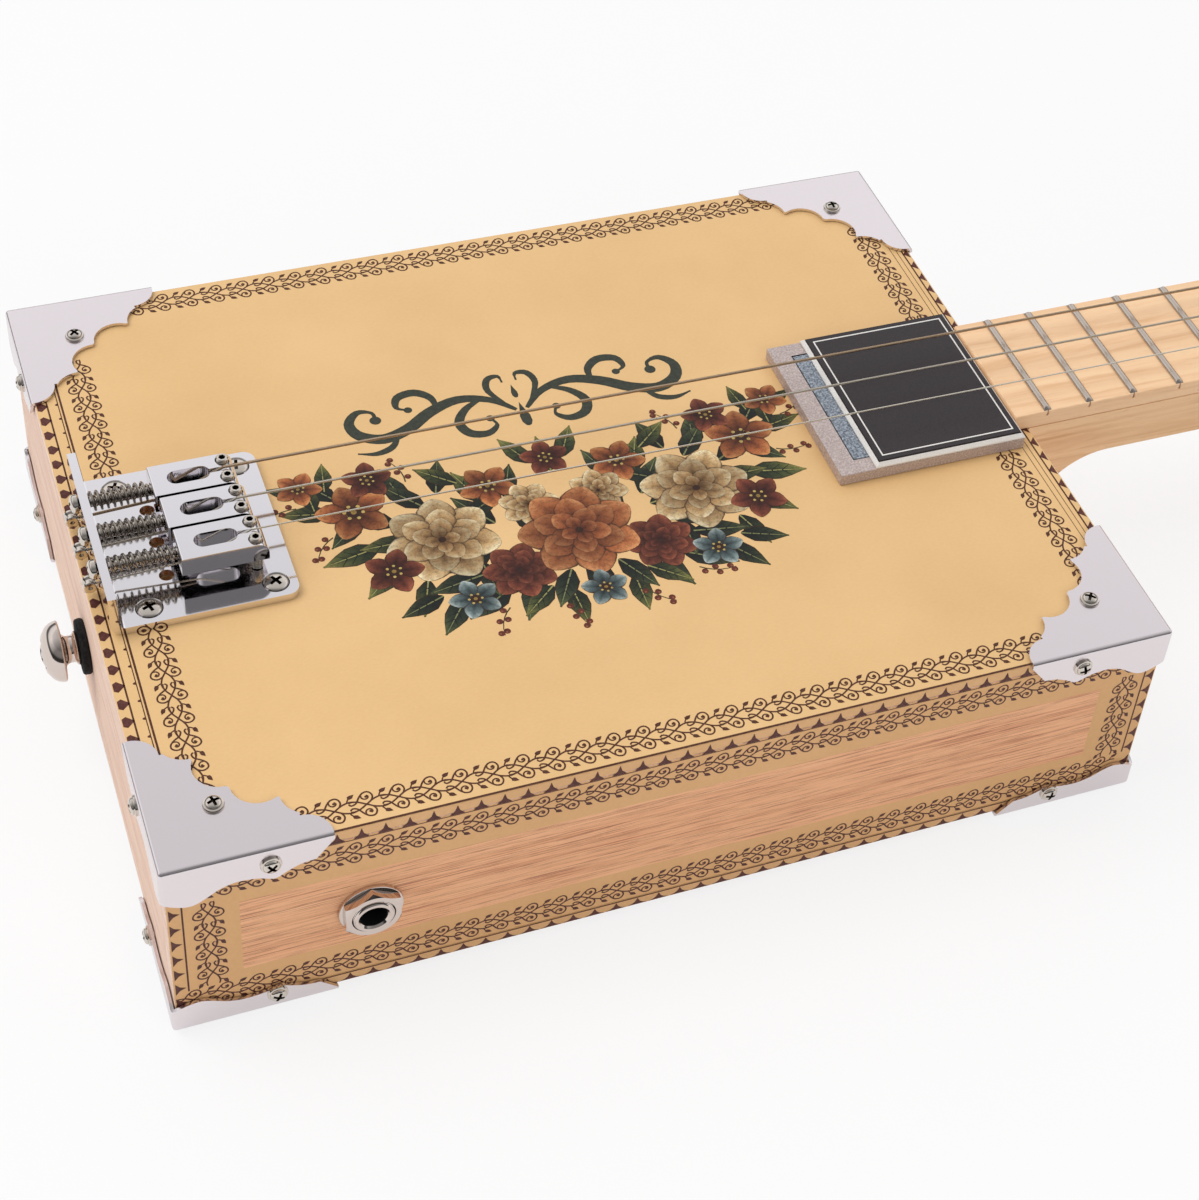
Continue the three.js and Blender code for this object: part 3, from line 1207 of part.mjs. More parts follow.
function makeTuner(index, solids) {
  const { x, y, side } = POST_PLACES[index];
  const tuner = new THREE.Group();
  tuner.position.set(x, y, NECK_BOTTOM);
  tuner.rotation.z = side > 0 ? 0 : Math.PI;
  tuner.add(piece(`tuner_plate_${index + 1}`, solids.plate, CHROME));
  tuner.add(piece(`tuner_post_${index + 1}`, solids.post, CHROME));
  const key = piece(`tuner_key_${index + 1}`, solids.key, CHROME);
  tuner.add(placed(key, WORM_OFFSET, 0, -WORM_DROP));
  return tuner;
}

// Jack

// A ring round the y axis: from the face inwards.
function ringAlongY(outer, inner, thick, startY, sides) {
  const start = [JACK_X, startY, JACK_Z];
  const hole = bar(inner, thick + 2 * OVERRUN, [JACK_X, startY - OVERRUN, JACK_Z], [0, 1, 0], ROUND_SIDES);
  return bar(outer, thick, start, [0, 1, 0], sides).subtract(hole);
}

function makeJack() {
  const face = FRONT_Y - JACK_NOSE_PROUD;
  const boardBack = JACK_NOSE_PROUD + SIDE_BOARD + GLUE_GAP;
  const end = boardBack + JACK_BARREL_LENGTH;
  const profile = [
    [0, end - JACK_END_WALL],
    [JACK_BORE_RADIUS, end - JACK_END_WALL],
    [JACK_BORE_RADIUS, JACK_MOUTH_DEPTH],
    [JACK_MOUTH_RADIUS, 0],
    [JACK_NOSE_RADIUS, 0],
    [JACK_NOSE_RADIUS, boardBack],
    [JACK_BARREL_RADIUS, boardBack],
    [JACK_BARREL_RADIUS, end],
    [0, end],
  ];
  const hole = JACK_NOSE_RADIUS + CLEARANCE;
  const washerStart = FRONT_Y - GLUE_GAP - JACK_WASHER_THICK;
  const nutStart = washerStart - GLUE_GAP - JACK_NUT_THICK;
  const nutCorner = JACK_NUT_FLATS / Math.sqrt(3);
  const socket = turned(profile, [JACK_X, face, JACK_Z], [0, 1, 0]);
  const washer = ringAlongY(JACK_WASHER_RADIUS, hole, JACK_WASHER_THICK, washerStart, ROUND_SIDES);
  const nut = ringAlongY(nutCorner, hole, JACK_NUT_THICK, nutStart, 6);
  return [
    piece("jack_socket", socket, CHROME),
    piece("jack_washer", washer, CHROME),
    piece("jack_nut", nut, CHROME),
  ];
}

// Strap button

function makeStrap() {
  const hole = STRAP_SCREW_RADIUS + CLEARANCE;
  const feltStart = TAIL_X - GLUE_GAP;
  const buttonStart = feltStart - FELT_THICK - GLUE_GAP;
  const outwards = [-1, 0, 0];
  const through = STRAP_LENGTH + 2 * OVERRUN;
  const felt = bar(FELT_RADIUS, FELT_THICK, [feltStart, 0, STRAP_Z], outwards, ROUND_SIDES);
  const feltHole = bar(hole, FELT_THICK + 2 * OVERRUN, [feltStart + OVERRUN, 0, STRAP_Z], outwards);
  const half = STRAP_PROFILE_SHARES.map(([along, out]) => [out * STRAP_HEAD_RADIUS, along * STRAP_LENGTH]);
  const outline = [[0, 0], ...half, [0, STRAP_LENGTH]];
  const button = turned(outline, [buttonStart, 0, STRAP_Z], outwards, STRAP_SIDES);
  const recessRadius = STRAP_SCREW_HEAD_RADIUS + CLEARANCE;
  const recessStart = buttonStart - STRAP_LENGTH + STRAP_RECESS;
  const holes = joined([
    bar(hole, through, [buttonStart + OVERRUN, 0, STRAP_Z], outwards),
    bar(recessRadius, STRAP_RECESS + OVERRUN, [recessStart, 0, STRAP_Z], outwards),
  ]);
  const seat = recessStart - CLEARANCE;
  const screwProfile = [
    [0, -STRAP_SCREW_LENGTH], [STRAP_SCREW_RADIUS, -STRAP_SCREW_LENGTH], [STRAP_SCREW_RADIUS, 0],
    [STRAP_SCREW_HEAD_RADIUS, 0], ...domeProfile(STRAP_SCREW_HEAD_RADIUS, STRAP_SCREW_HEAD_HEIGHT, 0, 3),
  ];
  const screw = turned(screwProfile, [seat, 0, STRAP_Z], outwards, SMALL_SIDES);
  return [
    piece("strap_washer", felt.subtract(feltHole), FELT),
    piece("strap_button", button.subtract(holes), CHROME),
    piece("strap_screw", screw, CHROME),
  ];
}

// The whole guitar

const guitar = new THREE.Group();
guitar.name = "cigar_box_guitar";
guitar.add(...makeBoards(), ...makeGuards());
guitar.add(makeBridgePlate(), ...makeBridgeScrews());
for (let index = 0; index < STRING_COUNT; index += 1) {
  guitar.add(makeSaddle(index), ...makeLiftScrews(index), makeIntonationScrew(index));
  guitar.add(makeSaddleSpring(index), makeString(index));
}
guitar.add(...makePickup());
guitar.add(makeNeck(), makeFretboard(), makeNut());
const tunerSolids = { plate: tunerPlateSolid(), post: tunerPostSolid(), key: tunerKeySolid() };
POST_PLACES.forEach((_, index) => guitar.add(makeTuner(index, tunerSolids)));
guitar.add(...makeJack(), ...makeStrap());
guitar.position.set(-(STRAP_TAIL_X + HEAD_END_X) / 2, 0, -REST_Z);

export default guitar;
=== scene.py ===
import json
import math
import random

import bmesh
import bpy
from mathutils import Matrix, Vector

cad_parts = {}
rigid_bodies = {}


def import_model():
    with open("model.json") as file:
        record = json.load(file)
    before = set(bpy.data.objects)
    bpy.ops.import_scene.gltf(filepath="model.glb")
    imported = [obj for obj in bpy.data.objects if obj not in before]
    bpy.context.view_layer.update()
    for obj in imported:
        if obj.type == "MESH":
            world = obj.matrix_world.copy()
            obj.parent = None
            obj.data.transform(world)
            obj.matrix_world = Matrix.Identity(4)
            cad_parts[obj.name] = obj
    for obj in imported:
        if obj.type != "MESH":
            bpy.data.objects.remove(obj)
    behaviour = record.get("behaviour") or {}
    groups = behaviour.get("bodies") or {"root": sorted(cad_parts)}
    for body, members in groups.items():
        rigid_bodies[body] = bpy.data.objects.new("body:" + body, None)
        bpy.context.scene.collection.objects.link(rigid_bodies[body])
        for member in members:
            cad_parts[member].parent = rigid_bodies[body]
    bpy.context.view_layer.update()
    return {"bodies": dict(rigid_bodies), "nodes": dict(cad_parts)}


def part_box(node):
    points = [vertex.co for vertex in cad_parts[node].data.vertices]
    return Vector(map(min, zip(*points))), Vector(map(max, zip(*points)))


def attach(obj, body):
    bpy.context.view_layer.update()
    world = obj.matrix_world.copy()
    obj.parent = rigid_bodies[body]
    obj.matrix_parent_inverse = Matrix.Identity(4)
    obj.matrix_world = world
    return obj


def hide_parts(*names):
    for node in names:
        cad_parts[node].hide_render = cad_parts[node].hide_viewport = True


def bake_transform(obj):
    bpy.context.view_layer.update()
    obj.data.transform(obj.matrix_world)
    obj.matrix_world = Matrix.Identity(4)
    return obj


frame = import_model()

# Cigar box guitar. Sizes are millimetres about the centre of the box's back, as laid out in the CAD model,
# and every piece is moved to the row frame, in metres, when it is made.
MM = 0.001
ORIGIN = Vector((sum(corner.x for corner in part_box("lid")) / 2, 0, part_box("back_panel")[0].z))
X, Y, Z = Vector((1, 0, 0)), Vector((0, 1, 0)), Vector((0, 0, 1))
BODY = "guitar"
STRINGS = (1, 2, 3)


def span(node):
    """The lowest and the highest corner of a CAD node."""
    low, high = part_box(node)
    return (low - ORIGIN) / MM, (high - ORIGIN) / MM


def middle(node):
    low, high = span(node)
    return (low + high) / 2


LID_LOW, LID_HIGH = span("lid")
LID_TOP = LID_HIGH.z
FRONT_Y = LID_LOW.y
BACK_Y = LID_HIGH.y
TAIL_X = LID_LOW.x
HEAD_X = LID_HIGH.x

# Sizes that several sections use
CLEARANCE = 0.3
GLUE_GAP = 0.1
OVERRUN = 1
STRING_RADII = {1: 0.38, 2: 0.32, 3: 0.23}
SIDE_BOARD = 6
JACK_NOSE_RADIUS = 4.75
NECK_WIDTH = 38.1
NECK_THICK = 14
NECK_BOTTOM = LID_TOP - NECK_THICK
FRETBOARD_TOP = LID_TOP + 5
FRET_HEIGHT = 1
HEAD_FACE = LID_TOP - 2
HEAD_LENGTH = 125
HEAD_END_X = span("neck")[1].x
HEAD_START_X = HEAD_END_X - HEAD_LENGTH
POST_FROM_NUT = 34.65
POST_SPACING = 45
POST_Y = 15
POST_WAIST_RADIUS = 2.4
POST_WAIST_END = 6.5
# Which side of the head each string's tuner is on, and how far along the head it stands
TUNER_SIDES = {1: 1, 2: 1, 3: -1}
TUNER_STEPS = {1: 0, 2: 1, 3: 0}


def post_place(index):
    """The middle of a tuner's post, on the underside of the head."""
    x = HEAD_START_X + POST_FROM_NUT + POST_SPACING * TUNER_STEPS[index]
    return Vector((x, TUNER_SIDES[index] * POST_Y, NECK_BOTTOM))


# Solids

ACROSS = Matrix(((1, 0, 0, 0), (0, 0, -1, 0), (0, 1, 0, 0), (0, 0, 0, 1)))
LENGTHWISE = Matrix(((0, 0, 1, 0), (1, 0, 0, 0), (0, 1, 0, 0), (0, 0, 0, 1)))
SWAPPED = Matrix(((0, 1, 0, 0), (1, 0, 0, 0), (0, 0, 1, 0), (0, 0, 0, 1)))
move = Matrix.Translation


def turn(degrees, axis="Z"):
    return Matrix.Rotation(math.radians(degrees), 4, axis)


def pointing(axis, place=(0, 0, 0)):
    """Turns +Z to an axis and moves to a place."""
    return move(place) @ Z.rotation_difference(Vector(axis)).to_matrix().to_4x4()


class Solid:
    """Points and faces in millimetres, collected until a piece is made of them."""

    def __init__(self, points=(), faces=()):
        self.points = [Vector(point) for point in points]
        self.faces = list(faces)

    def join(self, other):
        first = len(self.points)
        self.points += other.points
        self.faces += [[first + index for index in face] for face in other.faces]
        return self

    def moved(self, matrix):
        return Solid([matrix @ point for point in self.points], self.faces)

    def at(self, place, axis=Z):
        return self.moved(pointing(axis, place))


def on_circle(radius, angle):
    return radius * math.cos(angle), radius * math.sin(angle)


def arc(x, y, radius, start, end, steps):
    """Points on an arc, both ends included, with angles in degrees."""
    angles = [math.radians(start + (end - start) * step / steps) for step in range(steps + 1)]
    return [(x + along, y + up) for along, up in (on_circle(radius, angle) for angle in angles)]


def dome(radius, height, base, steps):
    """A profile from the rim of a dome to its top."""
    angles = [math.pi / 2 * step / steps for step in range(steps)]
    rise = [(radius * math.cos(angle), base + height * math.sin(angle)) for angle in angles]
    return rise + [(0, base + height)]


def rectangle(low, high, inset=0):
    return [(low[0] + inset, low[1] + inset), (high[0] - inset, low[1] + inset),
            (high[0] - inset, high[1] - inset), (low[0] + inset, high[1] - inset)]


def loft(rings):
    """A skin over rings with the same number of points, with flat ends."""
    count = len(rings[0])
    points = [point for ring in rings for point in ring]
    faces = []
    for here in range(0, len(points) - count, count):
        for side in range(count):
            after = (side + 1) % count
            faces.append((here + side, here + after, here + count + after, here + count + side))
    faces.append(tuple(reversed(range(count))))
    faces.append(tuple(range(len(points) - count, len(points))))
    return Solid(points, faces)


def lathe(profile, sides=48, closed=False):
    """Turns points of radius and height about +Z. A radius of 0 makes a pole."""
    points, rings, faces = [], [], []
    for radius, height in profile:
        count = sides if radius else 1
        rings.append([len(points) + side % count for side in range(sides)])
        points += [(*on_circle(radius, math.tau * side / sides), height) for side in range(count)]
    pairs = list(zip(rings, rings[1:])) + ([(rings[-1], rings[0])] if closed else [])
    for lower, upper in pairs:
        for side in range(sides):
            after = (side + 1) % sides
            corners = [lower[side], lower[after], upper[after], upper[side]]
            face = [corner for place, corner in enumerate(corners) if corner not in corners[:place]]
            if len(face) > 2:
                faces.append(face)
    return Solid(points, faces)


def prism(outline, low, high):
    """An outline in x and y standing from low to high."""
    area = sum(a[0] * b[1] - b[0] * a[1] for a, b in zip(outline, outline[1:] + outline[:1]))
    outline = outline[::-1] if area < 0 else outline
    return loft([[(x, y, height) for x, y in outline] for height in (low, high)])


def across(outline, width, y=0):
    """An outline of x and z, as wide as said and centred on y."""
    return prism(outline, -width / 2, width / 2).moved(move((0, y, 0)) @ ACROSS)


def sweep(path, radius, sides=12):
    """A round tube along points, with flat ends."""
    normal = None
    rings = []
    for index, point in enumerate(path):
        behind = (point - path[max(index - 1, 0)]).normalized()
        ahead = (path[min(index + 1, len(path) - 1)] - point).normalized()
        tangent = (behind + ahead).normalized()
        normal = tangent.orthogonal().normalized() if normal is None else normal
        normal = (normal - tangent * normal.dot(tangent)).normalized()
        side = tangent.cross(normal)
        turns = [on_circle(1, math.tau * step / sides) for step in range(sides)]
        rings.append([point + (normal * a + side * b) * radius for a, b in turns])
    return loft(rings)


SCREW_PITCH = 0.5
THREAD_DEPTH = 0.18
THREAD_SIDES = 16
THREAD_STEPS = 6


def threaded(radius, start, end):
    """A bar along +Z with a screw thread on it."""
    steps = max(2, round((end - start) / SCREW_PITCH * THREAD_STEPS))
    rings = []
    for step in range(steps + 1):
        height = start + (end - start) * step / steps
        ring = []
        for side in range(THREAD_SIDES):
            phase = (height / SCREW_PITCH - side / THREAD_SIDES) % 1
            size = radius - THREAD_DEPTH * (1 - abs(2 * phase - 1))
            ring.append((*on_circle(size, math.tau * side / THREAD_SIDES), height))
        rings.append(ring)
    return loft(rings)


def rounded_block(low, high, edge, steps=3):
    """A box with all its edges and corners rounded."""
    shape = bmesh.new()
    bmesh.ops.create_cube(shape, size=1)
    for vertex in shape.verts:
        vertex.co = [a + (b - a) * (value + 0.5) for a, b, value in zip(low, high, vertex.co)]
    bmesh.ops.bevel(shape, geom=shape.edges[:], offset=edge, offset_type="OFFSET", segments=steps,
                    profile=0.5, affect="EDGES")
    shape.verts.index_update()
    block = Solid([vertex.co for vertex in shape.verts],
                  [[vertex.index for vertex in face.verts] for face in shape.faces])
    shape.free()
    return block


def box_solid(low, high):
    """A plain box, for cuts."""
    return prism(rectangle(low, high), low[2], high[2])


def rod(radius, length, start, axis=Z, sides=32):
    return lathe([(0, 0), (radius, 0), (radius, length), (0, length)], sides).at(start, axis)


# Making pieces

def new_object(name, data):
    obj = bpy.data.objects.new(name, data)
    bpy.context.scene.collection.objects.link(obj)
    return obj


def bare_object(name, solid):
    mesh = bpy.data.meshes.new(name)
    mesh.from_pydata(solid.points, [], solid.faces)
    shape = bmesh.new()
    shape.from_mesh(mesh)
    bmesh.ops.recalc_face_normals(shape, faces=shape.faces)
    shape.to_mesh(mesh)
    shape.free()
    return new_object(name, mesh)


def shade_by_angle(mesh, degrees):
    shape = bmesh.new()
    shape.from_mesh(mesh)
    for face in shape.faces:
        face.smooth = True
    for edge in shape.edges:
        edge.smooth = len(edge.link_faces) == 2 and edge.calc_face_angle() < math.radians(degrees)
    shape.to_mesh(mesh)
    shape.free()


def change(obj, kind, **settings):
    """Applies one modifier to an object."""
    modifier = obj.modifiers.new("change", kind)
    for key, value in settings.items():
        setattr(modifier, key, value)
    bpy.context.view_layer.update()
    seen = obj.evaluated_get(bpy.context.evaluated_depsgraph_get())
    done = bpy.data.meshes.new_from_object(seen)
    obj.modifiers.clear()
    old = obj.data
    obj.data = done
    bpy.data.meshes.remove(old)


def combine(obj, operation, solid, dark=False):
    """Joins a solid to an object, cuts it away or keeps what lies in it. A dark cut has its own faces, which
    get painted shade.
    """
    tool = bare_object(obj.name + "_tool", solid)
    if dark:
        for mesh in (obj.data, tool.data):
            mesh.materials.append(None)
            mesh.materials.append(None)
        tool.data.polygons.foreach_set("material_index", [1] * len(tool.data.polygons))
    change(obj, "BOOLEAN", operation=operation, object=tool, solver="EXACT")
    bpy.data.objects.remove(tool)


def soften(obj, width, angle=40):
    """Breaks the sharp edges of an object."""
    change(obj, "BEVEL", width=width, segments=2, limit_method="ANGLE", angle_limit=math.radians(angle))


def shaped(name, solid, holes=(), kept=(), edge=0, recess=None):
    """The object of a solid, kept only inside others, cut by holes, with its sharp edges broken, then cut by
    a recess whose faces get painted shade.
    """
    obj = bare_object(name, solid)
    for part in kept:
        combine(obj, "INTERSECT", part)
    for hole in holes:
        combine(obj, "DIFFERENCE", hole)
    if edge:
        soften(obj, edge)
    if recess:
        combine(obj, "DIFFERENCE", recess, dark=True)
    return obj


shown = set()


def finish_piece(obj, look, body=None, slot=None, node=None, sharp=32, matrix=None, ends=None):
    """Moves a shaped object to the row frame and gives it its look and body; its slot is not used. A piece is
    named after its
    CAD node and a word of its own. It rides on that node's own body, and a node's first piece replaces it."""
    node = node or obj.name.rsplit("_", 1)[0]
    if matrix is not None:
        obj.data.transform(matrix)
    obj.data.transform(move(ORIGIN) @ Matrix.Scale(MM, 4))
    shade_by_angle(obj.data, sharp)
    if not ends:
        change(obj, "WEIGHTED_NORMAL", keep_sharp=True)
    marks = [face.material_index for face in obj.data.polygons]
    obj.data.materials.clear()
    obj.data.materials.append(LOOKS[look])
    # Faces left by a dark cut get painted shade, the dark recess look
    if any(marks):
        obj.data.materials.append(LOOKS["recess"])
        obj.data.polygons.foreach_set("material_index", marks)
    if ends:
        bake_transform(obj)
    else:
        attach(obj, body or (node if node in frame["bodies"] else BODY))
    if node in frame["nodes"] and node not in shown:
        shown.add(node)
        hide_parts(node)


def make(name, solid, look, holes=(), kept=(), edge=0, recess=None, **rest):
    finish_piece(shaped(name, solid, holes, kept, edge, recess), look, **rest)


def again(obj, name, look, matrix, **rest):
    """Another copy of an object that shaped() made, moved by a matrix."""
    finish_piece(new_object(name, obj.data.copy()), look, matrix=matrix, **rest)


# Looks

def linear(colour):
    """A colour of 0 to 255, as it looks on a screen, in Blender's linear values."""
    shares = [value / 255 for value in colour]
    return [share / 12.92 if share <= 0.04045 else ((share + 0.055) / 1.055) ** 2.4 for share in shares] + [1]


def values(colour):
    """Linear values of a grey, of a screen colour in a tuple, or of such values themselves in a list."""
    if isinstance(colour, (int, float)):
        return [colour] * 3 + [1]
    return linear(colour) if isinstance(colour, tuple) else colour


def shifted(colour, by):
    return tuple(min(255, max(0, value + by)) for value in colour)


class Nodes:
    """Short ways to add nodes to a tree."""

    def __init__(self, tree):
        self.tree = tree

    def node(self, kind, sockets=None, **settings):
        node = self.tree.nodes.new("ShaderNode" + kind)
        for key, value in settings.items():
            setattr(node, key, value)
        for socket, value in (sockets or {}).items():
            self.plug(node.inputs[socket], value)
        return node

    def plug(self, socket, value):
        if isinstance(value, bpy.types.NodeSocket):
            self.tree.links.new(value, socket)
        else:
            socket.default_value = value

    def parts(self, vector):
        return self.node("SeparateXYZ", {0: vector}).outputs

    def place(self, scale=(1, 1, 1)):
        """Object coordinates in metres, scaled."""
        coordinates = self.node("TexCoord").outputs["Object"]
        return self.node("Mapping", {"Vector": coordinates, "Scale": scale}).outputs["Vector"]

    def noise(self, scale, detail=3, rough=0.5, stretch=(1, 1, 1), warp=0):
        sockets = {"Vector": self.place(stretch), "Scale": scale, "Detail": detail,
                   "Roughness": rough, "Distortion": warp}
        return self.node("TexNoise", sockets).outputs["Fac"]

    def ramp(self, share, *stops):
        """Colours at shares from 0 to 1."""
        node = self.node("ValToRGB", {"Fac": share})
        elements = node.color_ramp.elements
        while len(elements) < len(stops):
            elements.new(0.5)
        for element, (position, colour) in zip(elements, stops):
            element.position = position
            element.color = values(colour)
        return node.outputs["Color"]

    def mix(self, share, a, b, blend="MIX"):
        node = self.node("Mix", data_type="RGBA", blend_type=blend, clamp_factor=True)
        for socket, value in zip((node.inputs[0], node.inputs[6], node.inputs[7]), (share, a, b)):
            self.plug(socket, linear(value) if isinstance(value, tuple) else value)
        return node.outputs[2]

    def sum(self, operation, a, b=0.0, c=0.0):
        return self.node("Math", {0: a, 1: b, 2: c}, operation=operation).outputs[0]

    def spread(self, value, low, high, start=0, end=1):
        """Takes a value from its own limits to others, and stops there."""
        sockets = {"Value": value, "From Min": low, "From Max": high, "To Min": start, "To Max": end}
        return self.node("MapRange", sockets).outputs[0]

    def between(self, value, low, high, blur=0.00005):
        """1 where a value lies between two limits, else 0."""
        above = self.spread(value, low - blur, low + blur)
        return self.sum("MULTIPLY", above, self.spread(value, high + blur, high - blur))


class Look(Nodes):
    """A material with the shader's plain values."""

    def __init__(self, name, colour=(200, 200, 200), roughness=0.5, metallic=0, **sockets):
        self.material = bpy.data.materials.new(name)
        self.material.use_nodes = True
        super().__init__(self.material.node_tree)
        self.shader = self.tree.nodes["Principled BSDF"]
        plain = {"Base Color": linear(colour), "Roughness": roughness, "Metallic": metallic, **sockets}
        for socket, value in plain.items():
            self.set(socket.replace("_", " "), value)

    def set(self, socket, value):
        self.plug(self.shader.inputs[socket], value)

    def bump(self, height, strength, distance):
        sockets = {"Height": height, "Strength": strength, "Distance": distance * MM}
        self.set("Normal", self.node("Bump", sockets).outputs["Normal"])
        return self.material

    def facing(self):
        """Whether a face lies flat and looks up, and whether it looks to the front or back."""
        normal = self.parts(self.node("NewGeometry").outputs["Normal"])
        up = self.sum("GREATER_THAN", normal["Z"], FACING_LIMIT)
        return up, self.sum("GREATER_THAN", self.sum("ABSOLUTE", normal["Y"]), FACING_LIMIT)


FACING_LIMIT = 0.7
PAPER = (234, 192, 134)
PAPER_SIDE = (232, 182, 126)
WOOD = (248, 187, 140)
WOOD_DARK = (208, 132, 96)
STREAK = (158, 74, 52)
BOARD = (250, 216, 194)
BOARD_DARK = (224, 178, 156)
PRINT = (78, 42, 26)
PRINT_DARK = (84, 42, 36)
# The window of wood in the paper of a long side
WINDOW_START_X = -105.6
WINDOW_END_X = 106.5
WINDOW_LOW_Z = 14.7
WINDOW_HIGH_Z = 39.1


def paper_colour(look, colour=PAPER):
    """Printed paper: faint cloudy tone and fine fibres."""
    cloud = look.noise(18, 4, 0.6)
    fibre = look.noise(900, 2, 0.6, (1, 2.5, 1))
    tone = look.sum("ADD", look.sum("MULTIPLY", cloud, 0.7), look.sum("MULTIPLY", fibre, 0.3))
    return look.ramp(tone, (0.3, shifted(colour, -7)), (0.5, colour), (0.72, shifted(colour, 7)))


def wood_colour(look, light, dark, stretch, streaks, depth):
    """Straight grain with fine dark streaks: the stretch leaves 1 for the axis that it runs along."""
    bands = look.noise(9, 5, 0.65, stretch, 0.4)
    base = look.ramp(bands, (0.26, dark), (0.44, light), (0.7, shifted(light, 12)))
    fine = look.noise(60, 4, 0.75, streaks)
    streak = look.ramp(fine, (0.36, 1.0), (0.5, 0.0))
    return look.mix(look.sum("MULTIPLY", streak, depth), base, STREAK)


def board_colour(look, stretch=(30, 1, 30)):
    return wood_colour(look, BOARD, BOARD_DARK, stretch, stretch, 0.42)


def lid_look():
    look = Look("printed_lid", roughness=0.42, Specular_IOR_Level=0.4)
    up, sideways = look.facing()
    papered = look.mix(sideways, board_colour(look), paper_colour(look, PAPER_SIDE))
    look.set("Base Color", look.mix(up, papered, paper_colour(look)))
    return look.bump(look.noise(1500, 2, 0.5, (1, 1.6, 1)), 0.12, 0.02)


def side_look():
    """The papered long sides, with a window of wood."""
    look = Look("printed_side", roughness=0.5, Specular_IOR_Level=0.3)
    position = look.parts(look.place())
    x_limits = [ORIGIN.x + x * MM for x in (WINDOW_START_X, WINDOW_END_X)]
    z_limits = [ORIGIN.z + z * MM for z in (WINDOW_LOW_Z, WINDOW_HIGH_Z)]
    window = look.sum("MULTIPLY", look.between(position["X"], *x_limits),
                      look.between(position["Z"], *z_limits))
    wood = wood_colour(look, WOOD, WOOD_DARK, (1, 110, 110), (1, 70, 70), 0.8)
    papered = look.mix(window, paper_colour(look, PAPER_SIDE), wood)
    look.set("Base Color", look.mix(look.facing()[1], board_colour(look), papered))
    return look.bump(look.noise(400, 3, 0.6, (1, 12, 12)), 0.15, 0.05)


def end_look():
    stretch = (30, 1, 60)
    look = Look("bare_end", roughness=0.62, Specular_IOR_Level=0.3)
    look.set("Base Color", board_colour(look, stretch))
    return look.bump(look.noise(300, 3, 0.6, stretch), 0.2, 0.06)


def maple_look(name, light, dark):
    look = Look(name, roughness=0.45, Specular_IOR_Level=0.35)
    grain = look.noise(14, 5, 0.6, (1, 16, 16), 0.6)
    fleck = look.noise(220, 2, 0.6, (1, 7, 7))
    base = look.ramp(grain, (0.3, dark), (0.5, light), (0.75, shifted(light, 10)))
    marks = look.ramp(fleck, (0.3, 1.0), (0.42, 0.0))
    look.set("Base Color", look.mix(look.sum("MULTIPLY", marks, 0.3), base, dark))
    return look.bump(fleck, 0.12, 0.04)


def metal_look(name, colour, roughness, grain):
    """Plated metal: a slightly uneven polish."""
    look = Look(name, colour, roughness, metallic=1)
    limits = max(roughness - grain, 0.02), roughness + grain
    look.set("Roughness", look.spread(look.noise(700, 3, 0.6), 0, 1, *limits))
    return look.bump(look.noise(90, 2, 0.5), 0.03, 0.05)


def wound_look(name, dark, light):
    """Wire wound round a core: fine rings along the string, dark in the grooves between turns and light on
    their crests, as painted shade and highlight.
    """
    look = Look(name, light, 0.34, metallic=1)
    sockets = {"Vector": look.place(), "Scale": 1 / (WINDING_RING * MM), "Distortion": 0}
    rings = look.node("TexWave", sockets, bands_direction="X").outputs["Fac"]
    # Painted shade in each groove and painted highlight on each crest
    look.set("Base Color", look.ramp(rings, (0.2, dark), (0.7, light)))
    return look.bump(rings, 0.5, 0.06)


def grainy_look(name, colour, spread, roughness, metallic=0.0, scale=2600):
    look = Look(name, colour, roughness, metallic)
    grain = look.noise(scale, 2, 0.7)
    stops = (0.36, shifted(colour, -spread)), (0.5, colour), (0.64, shifted(colour, spread))
    look.set("Base Color", look.ramp(grain, *stops))
    return look.bump(grain, 0.25, 0.03)


def ink_look(name, colour):
    look = Look(name, colour, 0.5, Specular_IOR_Level=0.3)
    patchy = look.noise(1400, 2, 0.6)
    look.set("Base Color", look.ramp(patchy, (0.4, colour), (0.75, shifted(colour, 22))))
    return look.material


def picture_look():
    """Ink of many colours: each point of the print carries its own."""
    look = Look("picture_ink", roughness=0.48, Specular_IOR_Level=0.3)
    ink = look.node("Attribute", attribute_name="ink").outputs["Color"]
    shade = look.ramp(look.noise(900, 5, 0.8), (0.34, 0.5), (0.56, 1.0))
    look.set("Base Color", look.mix(1.0, ink, shade, "MULTIPLY"))
    return look.material


